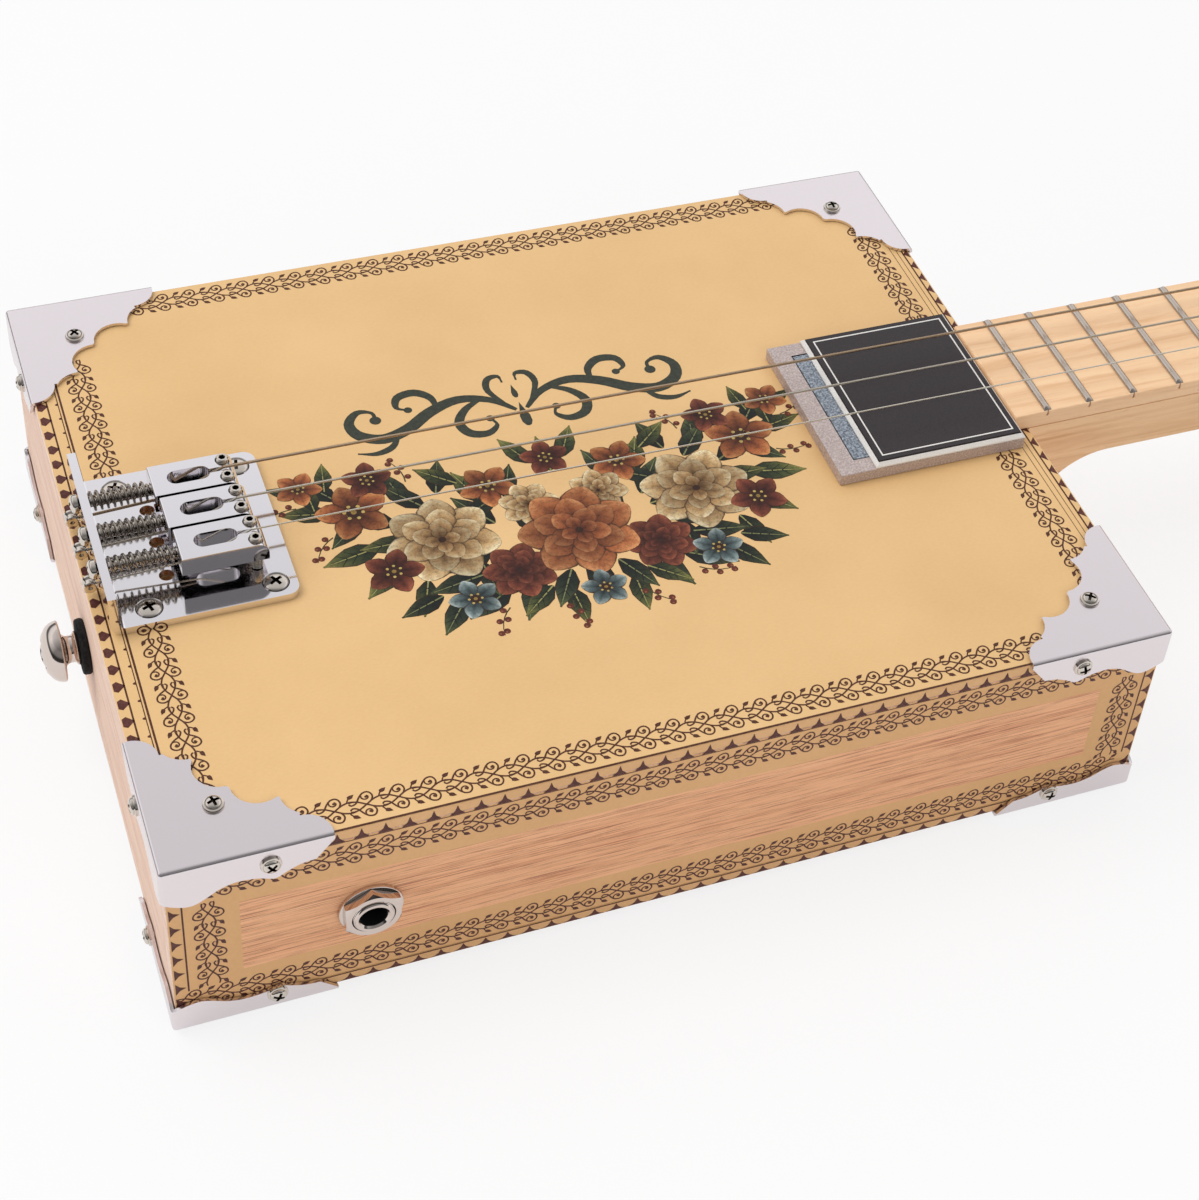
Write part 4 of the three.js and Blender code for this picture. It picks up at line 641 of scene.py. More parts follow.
WINDING_RING = 0.32
LOOKS = {
    "lid": lid_look(),
    "side": side_look(),
    "end": end_look(),
    "maple": maple_look("maple", (248, 206, 158), (224, 172, 122)),
    "fretboard": maple_look("fretboard_maple", (252, 210, 166), (234, 186, 138)),
    "nickel": metal_look("nickel", (232, 224, 226), 0.22, 0.04),
    "chrome": metal_look("chrome", (234, 231, 234), 0.08, 0.03),
    "steel": metal_look("steel", (216, 208, 198), 0.12, 0.04),
    "satin": metal_look("satin_chrome", (216, 204, 196), 0.07, 0.03),
    # Painted shade: steel darker than the rest, standing in for the shade between a spring's coils
    "spring": metal_look("spring_steel", (166, 158, 148), 0.2, 0.05),
    "wound": wound_look("wound_bronze", (176, 150, 122), (228, 204, 174)),
    "wound_pale": wound_look("wound_nickel", (196, 188, 174), (244, 236, 220)),
    "plain": metal_look("plain_wire", (240, 232, 216), 0.25, 0.04),
    # Painted shade: a dark metal on the faces of screw crosses, sockets, bores and seats, where shade falls
    "recess": metal_look("dark_recess", (92, 82, 72), 0.4, 0.06),
    "brass": metal_look("brass", (204, 170, 104), 0.26, 0.05),
    "fret": metal_look("fret_wire", (206, 194, 182), 0.26, 0.06),
    "grey_plate": grainy_look("grey_plate", (194, 178, 173), 20, 0.55, 0.2, 2000),
    "grey_strip": grainy_look("grey_strip", (138, 146, 156), 44, 0.6, 0.2, 1700),
    "black": grainy_look("black_laminate", (40, 32, 34), 7, 0.42),
    "white": grainy_look("white_laminate", (236, 232, 226), 5, 0.4),
    "felt": grainy_look("felt", (26, 25, 26), 12, 0.95, 0, 1800),
    "bone": grainy_look("bone", (240, 234, 216), 6, 0.35, 0, 900),
    # Painted shade: near black for the thin sheet inside the jack's bore
    "dark": grainy_look("dark_inside", (22, 20, 20), 6, 0.6),
    "print": ink_look("brown_ink", PRINT),
    "print_dark": ink_look("dark_ink", PRINT_DARK),
    "picture": picture_look(),
}


# Prints, thin films of ink on the paper

INK = 0.03
INK_STEP = 0.002
INK_LIFT = 0.01
NO_INK = (0, 0, 0)


def between_tones(a, b, share):
    """A colour between two, the second at a share of 1."""
    return tuple(x + (y - x) * share for x, y in zip(a, b))


def rounded_path(places, steps):
    """A smooth path through places."""
    path = [Vector(place) for place in places]
    points = []
    for index in range(len(path) - 1):
        before = path[max(index - 1, 0)]
        here, there = path[index], path[index + 1]
        after = path[min(index + 2, len(path) - 1)]
        for share in (step / steps for step in range(steps)):
            points.append(0.5 * (2 * here + (there - before) * share
                                 + (2 * before - 5 * here + 4 * there - after) * share ** 2
                                 + (3 * here - before - 3 * there + after) * share ** 3))
    return points + [path[-1]]


# The vine border: two mirrored tendrils that cross once in each unit. A unit runs along X from its crossing,
# and its lines are given as shares of the pitch, each with its weight.
VINE_PITCH = 7.17
LID_VINE_LINE = 0.4
SIDE_VINE_LINE = 0.38
VINE_LINES = (
    (1, ((-0.575, -0.173), (-0.469, -0.19), (-0.287, -0.151), (-0.08, -0.023), (0.008, 0.029), (0.158, 0.127),
         (0.323, 0.189), (0.479, 0.212), (0.607, 0.182))),
    (1, ((0.127, 0.105), (0.202, 0.242), (0.177, 0.379), (0.077, 0.467), (-0.079, 0.441), (-0.214, 0.306),
         (-0.299, 0.172), (-0.368, 0.097), (-0.502, 0.059), (-0.569, 0.127))),
    (0.9, ((-0.14, 0.396), (-0.138, 0.266), (-0.046, 0.196), (0.049, 0.225), (0.069, 0.299), (0.017, 0.338))),
    (0.8, ((0.391, 0.21), (0.415, 0.27), (0.47, 0.35))),
)
VINE_LEAF = ((0.44, 0.33), (0.445, 0.425), (0.53, 0.465), (0.668, 0.468), (0.598, 0.345), (0.51, 0.315))
VINE_DOT = arc(0.003, 0.287, 0.045, 0, 315, 7)


class Print:
    """Ink on a flat face: places on it are given along it and up it, from a point of the face. A painted
    print keeps the colour of each shape, and each lies over the earlier ones that it may cover."""

    def __init__(self, start, along=X, up=Y, painted=False):
        self.solid = Solid()
        self.inks = []
        self.start, self.along, self.up = Vector(start), Vector(along), Vector(up)
        self.out = self.along.cross(self.up)
        self.painted = painted
        self.laid = []

    def point(self, place, height):
        return self.start + self.along * place[0] + self.up * place[1] + self.out * height

    def level_over(self, places):
        """A height over every earlier shape that these places may cover."""
        low = [min(place[side] for place in places) for side in (0, 1)]
        high = [max(place[side] for place in places) for side in (0, 1)]
        level = 0
        for other_low, other_high, other_level in self.laid:
            if all(low[side] < other_high[side] and other_low[side] < high[side] for side in (0, 1)):
                level = max(level, other_level + INK_STEP)
        self.laid.append((low, high, level))
        return level

    def film(self, places, faces, rim, level, inks):
        """A layer of ink: its top, its rim and one flat face below."""
        level = self.level_over(places) if self.painted else level
        count = len(places)
        points = [self.point(place, INK + level) for place in places]
        points += [self.point(places[index], level / 2) for index in rim]
        for step, here in enumerate(rim):
            after = (step + 1) % len(rim)
            faces.append((rim[after], here, count + step, count + after))
        faces.append(tuple(range(count + len(rim) - 1, count - 1, -1)))
        self.solid.join(Solid(points, faces))
        self.inks += inks + [inks[index] for index in rim]

    def patch(self, rows, inks, level=0):
        """A film over a grid of places."""
        width, height = len(rows[0]), len(rows)
        last = (height - 1) * width
        rim = list(range(width)) + [row * width + width - 1 for row in range(1, height)]
        rim += list(range(last + width - 2, last - 1, -1)) + [row * width for row in range(height - 2, 0, -1)]
        starts = [row * width + side for row in range(height - 1) for side in range(width - 1)]
        faces = [(start, start + 1, start + width + 1, start + width) for start in starts]
        self.film([place for row in rows for place in row], faces, rim, level, inks)

    def ribbon(self, path, width, taper=lambda share: 1, level=0, ink=NO_INK):
        """A line of ink along places, as wide as said."""
        path = [Vector(place) for place in path]
        left, right = [], []
        for index, place in enumerate(path):
            forward = (path[min(index + 1, len(path) - 1)] - path[max(index - 1, 0)]).normalized()
            side = Vector((-forward.y, forward.x)) * width / 2 * taper(index / (len(path) - 1))
            left.append(place + side)
            right.append(place - side)
        self.patch([left, right], [ink] * (2 * len(path)), level)

    def shape(self, outline, level=0, ink=NO_INK):
        """A filled outline."""
        rim = list(range(len(outline)))
        self.film(outline, [tuple(rim)], rim, level, [ink] * len(outline))

    def vine(self, first, last, line):
        """A border of tendrils from one crossing to another, with a whole number of pitches between them."""
        first, last = Vector(first), Vector(last)
        length = (last - first).length
        count = max(1, round(length / VINE_PITCH))
        forward = (last - first).normalized()
        aside = Vector((-forward.y, forward.x))

        def places(shares, side, unit):
            return [first + forward * (unit * length / count + along * VINE_PITCH)
                    + aside * up * side * VINE_PITCH for along, up in shares]

        for unit in range(count + 1):
            for side in (1, -1):
                level = 0 if side > 0 else 2 * INK_STEP
                for weight, shares in VINE_LINES:
                    self.ribbon(places(rounded_path(shares, 2), side, unit), line * weight, level=level)
                    level += INK_STEP / 2
                for shares in (VINE_LEAF, VINE_DOT):
                    self.shape(places(shares, side, unit)[::side], level)

    def row(self, start, end, shares, width, height, direction=1):
        """Repeats an outline along a line, standing up from it to one side."""
        start, end = Vector(start), Vector(end)
        length = (end - start).length
        count = round(length / ROW_PITCH)
        along = (end - start).normalized()
        up = Vector((-along.y, along.x)) * direction
        for unit in range(count):
            foot = start + along * length * (unit + 0.5) / count
            outline = [foot + along * x * width + up * y * height for x, y in shares]
            self.shape(outline if direction < 0 else outline[::-1])

    def make(self, name, look):
        obj = bare_object(name, self.solid)
        if self.painted:
            colours = obj.data.color_attributes.new("ink", "FLOAT_COLOR", "POINT")
            for index, ink in enumerate(self.inks):
                colours.data[index].color = linear(ink)
        finish_piece(obj, look, sharp=20)


# Borders. Rows of small outlines have their own shares of width and height, lines their place and width.
ROW_PITCH = 5.4
SPIKE_SHARES = ((-0.5, 0), (-0.16, 0.42), (0, 1), (0.16, 0.42), (0.5, 0))
LOW_SPIKE_SHARES = ((-0.5, 0), (-0.28, 0.14), (-0.12, 0.45), (0, 1), (0.12, 0.45), (0.28, 0.14), (0.5, 0))
TICK_SHARES = ((-0.5, 0), (-0.2, 1), (0.2, 1), (0.5, 0))
TOOTH_SHARES = ((-0.5, 0), (-0.24, 0.5), (0, 1), (0.24, 0.5), (0.5, 0))
TEAR_SHARES = ((-0.34, 0), (-0.5, 0.34), (0, 1), (0.5, 0.34), (0.34, 0))
# Rows at the ends of the lid and the long sides: outline, and each mark's width and height
LID_TICKS = (TICK_SHARES, 0.9, 0.6)
LID_TEARS = (TEAR_SHARES, 3.3, 2.75)
LID_TEETH = (TOOTH_SHARES, 3.7, 1.7)
SIDE_END_SPIKES = (SPIKE_SHARES, 4, 2.4)
LID_VINES = (((-89.67, -89), (89.58, -89)), ((-89.67, 89.3), (89.58, 89.3)),
             ((-109, 68.15), (-109, -75.25)), ((111.2, 69.8), (111.2, -73.6)))
LID_LINES = ((-118.5, 0.42), (-115.1, 0.5), (-115.85, 0.24), (119.3, 0.42), (117.9, 0.16), (116.4, 0.16))
LID_LINE_INSET = 1
LID_NEAR_LINE_INSET = 0.1
LID_NEAR_LINE_WIDTH = 0.55
LID_ROW_END_Y = 86.4
TICK_X = -115.95
TEAR_X = TAIL_X + 0.4
TOOTH_X = HEAD_X - 0.5
SIDE_VINES = (((-115.7, 46.4), (113.8, 46.4)), ((-116.9, 7.9), (112.5, 7.9)),
              ((-112.4, 37.6), (-112.4, 16.1)), ((113.6, 37.5), (113.6, 16)))
SIDE_ROWS = (((-118.8, 51.2), (118.8, 51.2), SPIKE_SHARES, 3.5, 3.1),
             ((-116.53, 0.45), (115.67, 0.45), LOW_SPIKE_SHARES, 5, 2.3))
SIDE_LINES = ((51, 0.24), (3, 0.3))
SIDE_EDGE_INSET = 0.5
SIDE_END_LINES = ((-118, -1), (118.4, 1))
SIDE_END_LINE_WIDTH = 0.4
SIDE_END_LINE_ENDS = (11.5, 42.5)
SIDE_END_ROW_ENDS = (5, 48)


def print_lid():
    sheet = Print((0, 0, LID_TOP + INK_LIFT))
    for first, last in LID_VINES:
        sheet.vine(first, last, LID_VINE_LINE)
    near = FRONT_Y + LID_NEAR_LINE_INSET
    sheet.shape(rectangle((TAIL_X, near), (HEAD_X, near + LID_NEAR_LINE_WIDTH)))
    reach = BACK_Y - LID_LINE_INSET
    for x, width in LID_LINES:
        sheet.shape(rectangle((x - width / 2, -reach), (x + width / 2, reach)))
    sheet.row((TICK_X, -LID_ROW_END_Y), (TICK_X, LID_ROW_END_Y), *LID_TICKS)
    sheet.make("print_lid", "print")
    ends = Print((0, 0, LID_TOP + INK_LIFT))
    ends.row((TEAR_X, LID_ROW_END_Y), (TEAR_X, -LID_ROW_END_Y), *LID_TEARS)
    ends.row((TOOTH_X, -LID_ROW_END_Y), (TOOTH_X, LID_ROW_END_Y), *LID_TEETH)
    ends.make("print_lid_ends", "print_dark")


def print_long_side(name, sheet):
    """The borders of a papered long side: along it, and up it from the back's outer face."""
    for first, last in SIDE_VINES:
        sheet.vine(first, last, SIDE_VINE_LINE)
    for row in SIDE_ROWS:
        sheet.row(*row)
    start, end = TAIL_X + SIDE_EDGE_INSET, HEAD_X - SIDE_EDGE_INSET
    for z, width in SIDE_LINES:
        sheet.shape(rectangle((start, z - width / 2), (end, z + width / 2)))
    half = SIDE_END_LINE_WIDTH / 2
    for x, side in SIDE_END_LINES:
        low, high = SIDE_END_LINE_ENDS
        sheet.shape(rectangle((x - half, low), (x + half, high)))
        edge = side * end
        low, high = SIDE_END_ROW_ENDS
        sheet.row((edge, low), (edge, high), *SIDE_END_SPIKES, side)
    sheet.make(name, "print_dark")


# The picture on the lid: a festoon of roses, small flowers, leaves and berries under a symmetrical flourish.
# Tones are dark, middle and light. Sizes inside a flower or leaf are shares of its own size.

OUTLINE_INK = (58, 34, 24)
FLOURISH_INK = (62, 66, 54)
EYE_INK = (150, 120, 60)
DOT_INK = (196, 168, 96)
VEIN_INK = (210, 200, 140)
TWIG_INK = (74, 70, 40)
TONES = {
    "cream": ((96, 66, 38), (192, 154, 104), (240, 222, 180)),
    "peach": ((86, 42, 26), (164, 94, 54), (216, 150, 98)),
    "red": ((52, 22, 18), (104, 50, 36), (152, 86, 60)),
    "orange": ((84, 42, 26), (164, 92, 52), (210, 144, 88)),
    "blue": ((40, 48, 50), (98, 114, 114), (184, 194, 188)),
    "leaf": ((26, 34, 26), (70, 76, 42), (134, 130, 68)),
    "deep_leaf": ((20, 26, 23), (46, 54, 38), (88, 96, 58)),
}
PICTURE_CENTRE_X = -4
PETAL_STEPS = (0, 0.07, 0.3, 0.55, 0.75, 0.88, 0.96, 0.99, 1)
PETAL_SIDES = (-1, -0.84, -0.42, 0, 0.42, 0.84, 1)
PETAL_LEAST_HALF = 0.04
# How much lighter or darker a petal is than its tones, and how far its light leans to one side
PETAL_LIGHT = (0.85, 1.1)
PETAL_LEAN = 0.3
LEAF_VEINS = (0.22, 0.4, 0.58)
LEAF_VEIN_ANGLE = 42
PICTURE_SEED = 11
CHANCE = random.Random(PICTURE_SEED)
# Rings of a rose, from the outside: petals, where they start, their length and width, and how dark they are
ROSE_RINGS = ((7, 0.22, 0.8, 0.72, 0), (6, 0.14, 0.62, 0.58, 0.12), (5, 0.06, 0.47, 0.44, 0.24),
              (4, 0.02, 0.3, 0.3, 0.4))


def petal(sheet, root, angle, length, width, tones, peak=0.62, blunt=0.5, bow=0.16):
    """A petal or leaf from its root, dark where it starts, with a lit edge inside a thin dark outline."""
    dark, middle_tone, light = tones
    angle = math.radians(angle)
    forward = Vector((math.cos(angle), math.sin(angle)))
    side = Vector((-forward.y, forward.x))
    root = Vector(root)
    power = math.log(0.5) / math.log(peak)
    lit = CHANCE.uniform(*PETAL_LIGHT)
    lean = CHANCE.uniform(-PETAL_LEAN, PETAL_LEAN)
    rows, inks = [], []
    for along in PETAL_STEPS:
        half = width / 2 * max(math.sin(math.pi * along ** power), 0) ** blunt
        half = max(half, width * PETAL_LEAST_HALF)
        row = []
        for aside in PETAL_SIDES:
            reach = length * along * (1 - bow * aside ** 2 * (1 - along ** 6))
            row.append(root + forward * reach + side * aside * half)
            share = along ** 1.3 * (1 + lean * aside) - 0.22 * (aside == 0)
            share = min(max(share, 0), 1)
            tone = between_tones(dark, middle_tone, share * 2) if share < 0.5 else \
                between_tones(middle_tone, light, share * 2 - 1)
            outer = abs(aside) == 1 or along == 1
            inks.append(OUTLINE_INK if outer else tuple(min(255, value * lit) for value in tone))
        rows.append(row)
    sheet.patch(rows, inks)


def around(centre, radius, angle):
    x, y = on_circle(radius, math.radians(angle))
    return centre[0] + x, centre[1] + y


def spot(sheet, centre, radius, ink, sides=9):
    sheet.shape(arc(*centre, radius, 360, 360 / sides, sides - 1), ink=ink)


def rose(sheet, centre, size, tones, turned):
    """Rings of petals that grow smaller and darker towards the middle."""
    for count, start, reach, broad, shade in ROSE_RINGS:
        ring = [between_tones(tone, tones[0], shade) for tone in tones]
        for number in range(count):
            angle = turned + 360 * number / count + 23 * count
            petal(sheet, around(centre, start * size, angle), angle, reach * size, broad * size, ring)
    spot(sheet, centre, 0.07 * size, OUTLINE_INK)


def blossom(sheet, centre, size, tones, turned):
    """One ring of petals round a dark eye with pale dots."""
    for number in range(5):
        angle = turned + 360 * number / 5
        petal(sheet, around(centre, 0.1 * size, angle), angle, 0.9 * size, 0.74 * size, tones, 0.6, 0.55)
    spot(sheet, centre, 0.2 * size, OUTLINE_INK, 12)
    for number in range(6):
        spot(sheet, around(centre, 0.24 * size, 60 * number + turned), 0.055 * size, DOT_INK, 6)
    spot(sheet, centre, 0.08 * size, EYE_INK, 8)


def leaf(sheet, root, angle, length, tones):
    """A pointed leaf with a pale midrib and side veins."""
    petal(sheet, root, angle, length, 0.46 * length, tones, 0.42, 0.95, 0.05)
    rib = [root, around(root, 0.5 * length, angle), around(root, 0.93 * length, angle)]
    vein = between_tones(tones[2], VEIN_INK, 0.35)
    sheet.ribbon(rib, 0.035 * length, lambda share: 1 - 0.7 * share, ink=vein)
    for share in LEAF_VEINS:
        start = around(root, share * length, angle)
        for side in (-1, 1):
            end = around(start, (0.23 - 0.14 * abs(share - 0.35)) * length, angle + side * LEAF_VEIN_ANGLE)
            sheet.ribbon([start, end], 0.022 * length, lambda along: 1 - 0.6 * along, ink=tones[0])


def berries(sheet, root, angle, count=5, length=9):
    """A curved twig with berries on both sides."""
    places = [around(root, length * step / count, angle + 5 * step) for step in range(count + 1)]
    sheet.ribbon(places, 0.35, lambda share: 1 - 0.5 * share, ink=TWIG_INK)
    for number, place in enumerate(places[1:]):
        side = 1 if number % 2 else -1
        spot(sheet, around(place, 1, angle + 90 * side), 0.85, TONES["red"][1], 10)
        spot(sheet, around(place, 1.15, angle + 75 * side), 0.3, TONES["red"][2], 6)


# Strokes of the flourish: width, and places from its middle. Drops: width, low and high end.
FLOURISH_STROKES = (
    (3.6, ((1.4, -1), (7, 4.4), (15, 6.6), (23, 4), (30, -0.6), (37, -2.6), (42.6, 0.2), (44, 5), (41, 8.6),
           (37.4, 7.6), (37.2, 4.6))),
    (2.7, ((9, 5.4), (14, 2.6), (17, -2), (15.4, -6.4), (11, -7.6), (7.9, -5.2), (8.9, -2.4))),
    (2.6, ((21, 4.8), (21.4, 9.2), (25, 12.2), (29.6, 11.4), (30.8, 7.8), (28.2, 6.2))),
    (1.9, ((33, -2.2), (35.6, -6), (40, -7.4), (44.6, -6.2))),
    (1.9, ((3, 1), (6.4, 7.6), (5.4, 12), (2.4, 12.6), (1.9, 10))),
)
CURLED_FROM = 2
DROPS = ((2.2, -7.6, 1.6), (1.3, 3.4, 8.6))
DROP_SHARES = ((0, 1), (0.3, 0.7), (0.62, 0.42), (0.6, 0.18), (0.3, 0.03), (0, 0), (-0.3, 0.03), (-0.6, 0.18),
               (-0.62, 0.42), (-0.3, 0.7))
FLOURISH_Y = 25


def swell(share):
    """How wide a stroke is along its length."""
    return 0.28 + 0.72 * math.sin(math.pi * min(share * 1.15, 1)) ** 0.8


def flourish(sheet):
    """Mirrored scrolls, thick in the middle of each stroke, with drops between them."""
    for side in (-1, 1):
        for width, places in FLOURISH_STROKES:
            path = [(side * x, FLOURISH_Y + y) for x, y in rounded_path(places, 4)]
            sheet.ribbon(path, width, swell, ink=FLOURISH_INK)
            if width > CURLED_FROM:
                spot(sheet, path[-1], width * 0.42, FLOURISH_INK, 14)
    for width, low, high in DROPS:
        drop = [(x * width, FLOURISH_Y + low + (high - low) * y) for x, y in DROP_SHARES]
        sheet.shape(drop[::-1], ink=FLOURISH_INK)


# Leaves as place, angle and length; twigs as place and angle; flowers as kind, place, size, tone and turn.
# X is from the picture's middle, and each stands on both sides of it. The last flowers stand in the middle.
PICTURE_LEAVES = (
    (14, -34, -62, 15), (22, -36, -30, 14), (8, -40, -92, 12), (44, -20, -42, 15), (48, -14, -12, 15),
    (40, -28, -70, 12), (56, 0, 12, 13), (54, 4, 52, 12), (60, 2, 88, 10), (38, -2, 78, 13), (30, 0, 108, 12),
    (20, -6, 70, 13), (14, -6, 112, 12), (4, 4, 62, 12), (33, -36, -52, 13), (2, -34, -110, 13),
    (26, -26, -95, 12), (62, 8, 30, 9), (20, -18, 12, 14), (22, -22, -20, 15), (19, -14, 55, 14),
    (42, -8, 30, 14), (40, -14, 0, 13), (10, -20, 80, 14), (27, -30, -10, 14), (6, -34, -60, 13),
    (50, -4, -40, 12), (34, -4, 50, 13), (12, -2, 30, 12), (24, 2, 40, 12), (46, 2, 130, 11),
    (56, 8, 100, 10), (38, -34, -20, 12), (12, -38, -40, 12), (25, -10, 150, 12),
)
PICTURE_TWIGS = ((58, -8, -28), (36, 6, 98), (24, -42, -40), (9, -44, -75), (64, 4, 8))
PICTURE_FLOWERS = (
    (blossom, 51, -1, 9.5, "orange", 10), (blossom, 62, 10.5, 6, "orange", 50),
    (blossom, 45, 9, 6.5, "red", 25), (rose, 33, -16, 14, "cream", 0), (blossom, 47, -23, 7.5, "red", 40),
    (rose, 18, -31, 9, "red", 15), (blossom, 31, -37, 6.5, "blue", 5),
    (blossom, 17, -1, 7.5, "orange", 60), (rose, 9, -10, 7.5, "cream", 30),
)
MIDDLE_LEAF = (0, 0, 90, 13)
MIDDLE_FLOWERS = ((blossom, 5, 6.5, "red", 90), (rose, -22, 15, "peach", 12), (blossom, -42, 6, "blue", 90))


def print_picture():
    sheet = Print((PICTURE_CENTRE_X, 0, LID_TOP + INK_LIFT), painted=True)
    flourish(sheet)
    for x, y, angle, length in PICTURE_LEAVES:
        tones = TONES["deep_leaf" if x % 4 else "leaf"]
        leaf(sheet, (x, y), angle, length, tones)
        leaf(sheet, (-x, y), 180 - angle, length, tones)
    for x, y, angle in PICTURE_TWIGS:
        berries(sheet, (x, y), angle)
        berries(sheet, (-x, y), 180 - angle)
    for draw, x, y, size, tone, turned in PICTURE_FLOWERS:
        draw(sheet, (x, y), size, TONES[tone], turned)
        draw(sheet, (-x, y), size, TONES[tone], 180 - turned)
    x, y, angle, length = MIDDLE_LEAF
    leaf(sheet, (x, y), angle, length, TONES["leaf"])
    for draw, y, size, tone, turned in MIDDLE_FLOWERS:
        draw(sheet, (0, y), size, TONES[tone], turned)
    sheet.make("print_picture", "picture")


# Boards, with their edges softened

BOARD_EDGE = 0.45
STRING_HOLE_RADIUS = 1.8
STRING_HOLE_X = -102.65
LID_HOLE_RADIUS = 1.6
# The look and the slot of each board
BOARDS = {
    "lid": ("lid", "printed_board"), "front_side": ("side", "printed_board"),
    "back_side": ("side", "bare_board"), "tail_side": ("end", "bare_board"),
    "head_side": ("end", "bare_board"), "back_panel": ("lid", "bare_board"),
}


def saddle_rear(index):
    return span(f"saddle_{index}")[0].x


def string_y(index):
    return middle(f"saddle_{index}").y


def make_boards():
    nose = middle("jack_socket")
    through = SIDE_BOARD + 2 * OVERRUN
    side = NECK_WIDTH / 2 + CLEARANCE
    notch = box_solid((HEAD_X - through, -side, NECK_BOTTOM - CLEARANCE), (HEAD_X + OVERRUN, side, LID_TOP))
    lid_through = LID_TOP - LID_LOW.z + 2 * OVERRUN
    holes = {
        "front_side": [rod(JACK_NOSE_RADIUS + CLEARANCE, through,
                           (nose.x, FRONT_Y - OVERRUN, nose.z), Y, 48)],
        "head_side": [notch],
        "lid": [rod(LID_HOLE_RADIUS, lid_through, (STRING_HOLE_X, string_y(index), LID_LOW.z - OVERRUN))
                for index in STRINGS],
    }
    for node, (look, slot) in BOARDS.items():
        block = rounded_block(*span(node), BOARD_EDGE)
        make(f"board_{node}", block, look, holes=holes.get(node, ()), slot=slot, node=node)


# Corner guards: a scalloped plate folded down over two sides, with three round head screws

GUARD_LEG = 38.1
GUARD_SHEET = 0.8
GUARD_FOLD_RADIUS = 0.95
GUARD_INNER_RADIUS = 0.2
GUARD_STANDOFF = 1.1
GUARD_EDGE = 0.14
GUARD_SHARP_ANGLE = 50
LID_FLANGE_DEPTH = 12.8
BASE_FLANGE_DEPTH = 9.1
GUARD_PLATE_SCREW_INSET = 15.3
GUARD_FLANGE_SCREW_ALONG = 24
GUARD_FLANGE_SCREW_DEPTH = 5
GUARD_HEAD_RADIUS = 2.4
GUARD_HEAD_HEIGHT = 1.6
GUARD_SHANK_RADIUS = 1
GUARD_SHANK_LENGTH = 5
# How far each flat blank reaches past its fold, so that they overlap there
GUARD_FOLD_REACH = 1.3
# Half of the scalloped edge, from the end of the leg to the diagonal: centre, radius, start and end angle
GUARD_ARC_SHARES = ((0.845, 0.031, 0.155, 0, 90), (0.934, 0.349, 0.165, 239, 179),
                    (0.677, 0.499, 0.163, -62, -180))
# Lower edge of a flange from the corner outwards: along the leg, and down the flange
GUARD_FLANGE_SHARES = ((0, 0.8), (0.1, 0.96), (0.18, 1), (0.26, 0.88), (0.33, 0.74), (0.43, 0.65),
                       (0.55, 0.69), (0.65, 0.8), (0.72, 0.69), (0.8, 0.58), (0.89, 0.54), (1, 0.12))
# Profile of a round head: shares of its radius and height, up to the foot of its dome
PAN_SHARES = ((1, 0), (1, 0.25), (0.95, 0.36), (0.8, 0.42), (0.8, 0.5))
PAN_DOME_START = 0.52
# The cross in a round head: its width and reach as shares of the radius, its depth as one of the height
PAN_CROSS_SHARES = (0.3, 0.62, 0.7)
CROSS_FLOOR_SHARE = 0.62
# Degrees by which each corner's screws are turned on from those of the one before it
GUARD_SCREW_TURN = 37


def guard_shape(name, depth):
    reach = 2 * GUARD_LEG
    sheet = GUARD_SHEET
    outer = rounded_block((0, 0, -reach), (reach, reach, 0), GUARD_FOLD_RADIUS, 4)
    inside = (sheet, sheet, sheet - reach), (reach - sheet, reach - sheet, -sheet)
    inner = rounded_block(*inside, GUARD_INNER_RADIUS, 2)
    half = []
    for x, y, radius, start, end in GUARD_ARC_SHARES:
        half += arc(x * GUARD_LEG, y * GUARD_LEG, radius * GUARD_LEG, start, end, 10)
    plan = [(-OVERRUN, -OVERRUN), (GUARD_LEG, -OVERRUN)] + half + [(y, x) for x, y in reversed(half)]
    plan += [(-OVERRUN, GUARD_LEG)]
    edge = [(along * GUARD_LEG, -down * depth) for along, down in GUARD_FLANGE_SHARES]
    edge = [tuple(point) for point in rounded_path(edge[:-1], 4)] + [edge[-1]]
    skirt = [(-OVERRUN, OVERRUN), (-OVERRUN, edge[0][1])] + edge + [(GUARD_LEG, OVERRUN)]
    near = across(skirt, 2 * GUARD_FOLD_REACH)
    whole = bare_object(name, prism(plan, -GUARD_FOLD_REACH, OVERRUN))
    for operation, solid in (("UNION", near), ("UNION", near.moved(SWAPPED)), ("INTERSECT", outer),
                             ("DIFFERENCE", inner)):
        combine(whole, operation, solid)
    soften(whole, GUARD_EDGE, GUARD_SHARP_ANGLE)
    return whole


def cross_recess(width, reach, depth, top):
    """The tapered cross of a screw's head, as a cut, open at the top. Its faces get painted shade."""
    half = width / 2
    corners = [(half, half), (half, reach), (-half, reach), (-half, half), (-reach, half), (-reach, -half),
               (-half, -half), (-half, -reach), (half, -reach), (half, -half), (reach, -half), (reach, half)]
    return loft([[(x * share, y * share, height) for x, y in reversed(corners)]
                 for share, height in ((CROSS_FLOOR_SHARE, top - depth), (1, top), (1, top + OVERRUN))])


def pan_head(name, radius, height, shank_radius, shank_length):
    """A round head on a thin flange, its seat at z 0, with a cross recess and a plain shank."""
    profile = [(0, -shank_length), (shank_radius, -shank_length), (shank_radius, 0)]
    profile += [(out * radius, up * height) for out, up in PAN_SHARES]
    profile += dome(profile[-1][0], (1 - PAN_DOME_START) * height, PAN_DOME_START * height, 6)
    width, reach, depth = PAN_CROSS_SHARES
    recess = cross_recess(width * radius, reach * radius, depth * height, height)
    return shaped(name, lathe(profile, 40), recess=recess)


